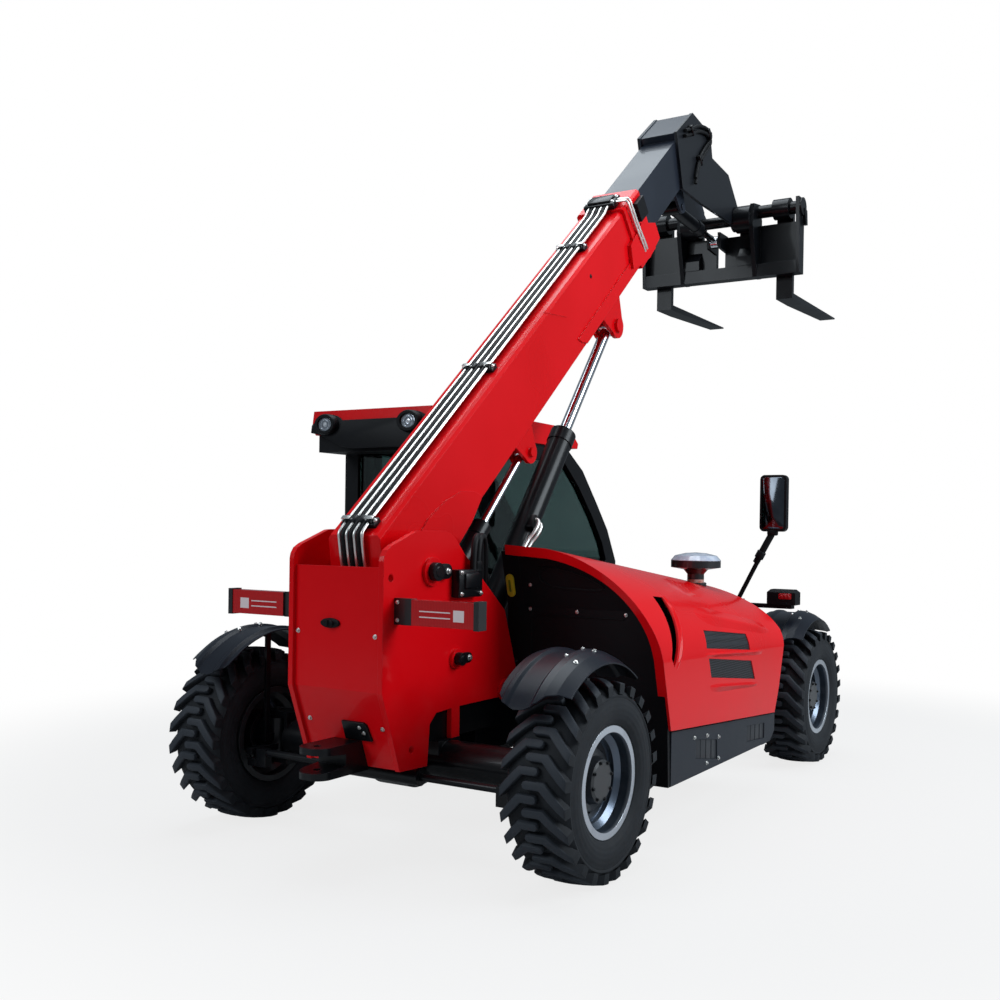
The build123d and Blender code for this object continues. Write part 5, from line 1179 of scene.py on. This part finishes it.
def makeFittings():
    port, end, offset = fittingLook["portAt"], fittingLook["pipesTo"], fittingLook["offset"]
    turn = Matrix.Rotation(-math.radians(fittingLook["slope"]), 4, "Y")
    block = bmesh.new()
    addBlock(block, onLift(port, -offset, 0.034), (0.080, 0.046, 0.060), 0.006, turn)
    newPiece("liftPortBlock", block, "blackPaint", "lift_barrel_body")
    pipes = bmesh.new()
    for out in (0.018, 0.050):
        addPipe(pipes, [onLift(port + 0.015, -offset - 0.020, out),
                        onLift(port + 0.015, -offset - 0.046, out),
                        onLift(port - 0.060, -offset - 0.046, out),
                        onLift(port - 0.130, -offset - 0.014, out),
                        onLift(end, -offset - 0.014, out)], 0.010)
    newPiece("liftPipes", pipes, "pipeSteel", "lift_barrel_body")

    valve = bmesh.new()
    for centre, size in (valveLook["body"], valveLook["lid"]):
        addBlock(valve, at(*centre), size, valveLook["round"])
    addRod(valve, at(0.150, -0.290, 1.240), at(0.150, -0.290, 1.285), 0.020, 6, 0.002)
    newPiece("valveBlock", valve, "blackPaint", "chassis")
    hoses = bmesh.new()
    for shift in valveLook["hoseShifts"]:
        addPipe(hoses, [at(x - shift, y, z) for x, y, z in valveLook["hose"]], valveLook["hoseRadius"])
    newPiece("valveHoses", hoses, "hoseRubber", "chassis")
    bolts = bmesh.new()
    for x, z in valveLook["bolts"]:
        addBolt(bolts, at(x, valveLook["boltFace"], z), (0, -1, 0), 0.010)
    newPiece("valveBolts", bolts, "zincPlate", "chassis")


def makeNeckPipes():
    side = fittingLook["neckSide"]
    pipes = bmesh.new()
    for shift in (0.0, 0.026):
        addPipe(pipes, [onBoom(u - shift, side - 0.013, v - shift) for u, v in fittingLook["neckPipe"]],
                0.0115)
    newPiece("neckPipes", pipes, "hoseRubber", "inner_boom_body")
    clips = bmesh.new()
    turn = alongBoom().to_3x3().to_4x4()
    for u, v in ((4.03, 0.200), (4.29, 0.062), (4.04, -0.012)):
        addBlock(clips, onBoom(u, side - 0.014, v), (0.030, 0.034, 0.070), 0.005, turn)
        addBolt(clips, onBoom(u, side - 0.030, v), (0, -1, 0), 0.010)
    newPiece("neckClips", clips, "blackPaint", "inner_boom_body")


makeFittings()
makeNeckPipes()
print("fittings made")


# Pale floor that keeps the shadow near the machine and runs out to white
floorLook = {"size": 60.0, "shadowEnd": 2.8, "whiteFrom": 5.2, "nearShare": 0.80}


def makeFloor():
    mesh = bmesh.new()
    bmesh.ops.create_grid(mesh, x_segments=1, y_segments=1, size=floorLook["size"])
    data = bpy.data.meshes.new("floor")
    mesh.to_mesh(data)
    mesh.free()
    floor = bpy.data.objects.new("floor", data)
    bpy.context.scene.collection.objects.link(floor)
    finish = Finish("paleFloor", {"Base Color": (0.42, 0.42, 0.42, 1), "Roughness": 0.9,
                                  "Specular IOR Level": 0.0})
    x, y, z = finish.split(finish.place())
    reach = finish.node("ShaderNodeMath", {"operation": "SQRT"}, {0: x * x + y * y})
    far = finish.ease(reach, floorLook["shadowEnd"], floorLook["whiteFrom"])
    share = floorLook["nearShare"] + (1 - floorLook["nearShare"]) * far
    path = finish.tree.nodes.new("ShaderNodeLightPath")
    seen = Wire(finish, path.outputs["Is Camera Ray"]) + Wire(finish, path.outputs["Is Transmission Ray"])
    white = finish.node("ShaderNodeEmission", {}, {"Color": (1, 1, 1, 1), "Strength": 1.0})
    output = finish.tree.nodes["Material Output"]
    mixed = finish.node("ShaderNodeMixShader", {}, {0: share * finish.ease(seen, 0.0, 1.0),
                                                    1: Wire(finish, finish.shader.outputs[0]), 2: white})
    finish.tree.links.new(mixed.socket, output.inputs["Surface"])
    data.materials.append(finish.material)


def makeWorld():
    world = bpy.data.worlds.new("studio")
    bpy.context.scene.world = world
    world.use_nodes = True
    tree = world.node_tree
    light = tree.nodes["Background"]
    light.inputs["Color"].default_value = (0.76, 0.88, 1, 1)
    light.inputs["Strength"].default_value = 0.24
    white = tree.nodes.new("ShaderNodeBackground")
    white.inputs["Color"].default_value = (1, 1, 1, 1)
    white.inputs["Strength"].default_value = 1.0
    path = tree.nodes.new("ShaderNodeLightPath")
    either = tree.nodes.new("ShaderNodeMath")
    either.operation = "MAXIMUM"
    tree.links.new(path.outputs["Is Camera Ray"], either.inputs[0])
    tree.links.new(path.outputs["Is Transmission Ray"], either.inputs[1])
    mixed = tree.nodes.new("ShaderNodeMixShader")
    tree.links.new(either.outputs[0], mixed.inputs[0])
    tree.links.new(light.outputs[0], mixed.inputs[1])
    tree.links.new(white.outputs[0], mixed.inputs[2])
    tree.links.new(mixed.outputs[0], tree.nodes["World Output"].inputs["Surface"])


# Soft boxes: a large one to the machine's right, one behind and one above
softBoxes = {
    "rightBox": {"place": (1.5, -7.5, 5.2), "aim": (-0.4, 0.0, 1.2), "size": 5.0, "power": 620.0},
    "rearBox": {"place": (-8.0, 3.0, 5.5), "aim": (-0.6, 0.0, 1.4), "size": 4.0, "power": 230.0},
    "topBox": {"place": (0.0, 0.5, 8.5), "aim": (0.0, 0.0, 0.0), "size": 6.0, "power": 480.0},
}


def makeSoftBoxes():
    for name, look in softBoxes.items():
        data = bpy.data.lights.new(name, "AREA")
        data.shape = "SQUARE"
        data.size = look["size"]
        data.energy = look["power"]
        data.color = (0.86, 0.94, 1)
        lamp = bpy.data.objects.new(name, data)
        bpy.context.scene.collection.objects.link(lamp)
        lamp.location = look["place"]
        aim = Vector(look["aim"]) - Vector(look["place"])
        lamp.rotation_euler = aim.to_track_quat("-Z", "Y").to_euler()


# Camera solved from the photograph's wheels, boom and forks
cameraLook = {"place": (-5.981, -3.100, 1.435), "yaw": 30.20, "pitch": -0.548, "roll": 0.874, "lens": 39.37,
              "shiftX": -0.0638, "shiftY": 0.0397}


def makeCamera():
    data = bpy.data.cameras.new("camera")
    data.lens = cameraLook["lens"]
    data.sensor_width = 36.0
    data.shift_x = cameraLook["shiftX"]
    data.shift_y = cameraLook["shiftY"]
    data.clip_end = 200.0
    yaw, pitch, roll = (math.radians(cameraLook[k]) for k in ("yaw", "pitch", "roll"))
    forward = Vector((math.cos(yaw) * math.cos(pitch), math.sin(yaw) * math.cos(pitch), math.sin(pitch)))
    level = forward.cross(Vector((0, 0, 1))).normalized()
    upright = level.cross(forward)
    right = level * math.cos(roll) + upright * math.sin(roll)
    up = upright * math.cos(roll) - level * math.sin(roll)
    camera = bpy.data.objects.new("camera", data)
    bpy.context.scene.collection.objects.link(camera)
    turn = Matrix((right, up, -forward)).transposed().to_4x4()
    camera.matrix_world = Matrix.Translation(cameraLook["place"]) @ turn
    bpy.context.scene.camera = camera


makeFloor()
makeWorld()
makeSoftBoxes()
makeCamera()
bpy.context.scene.view_settings.view_transform = "Standard"
print("studio made")
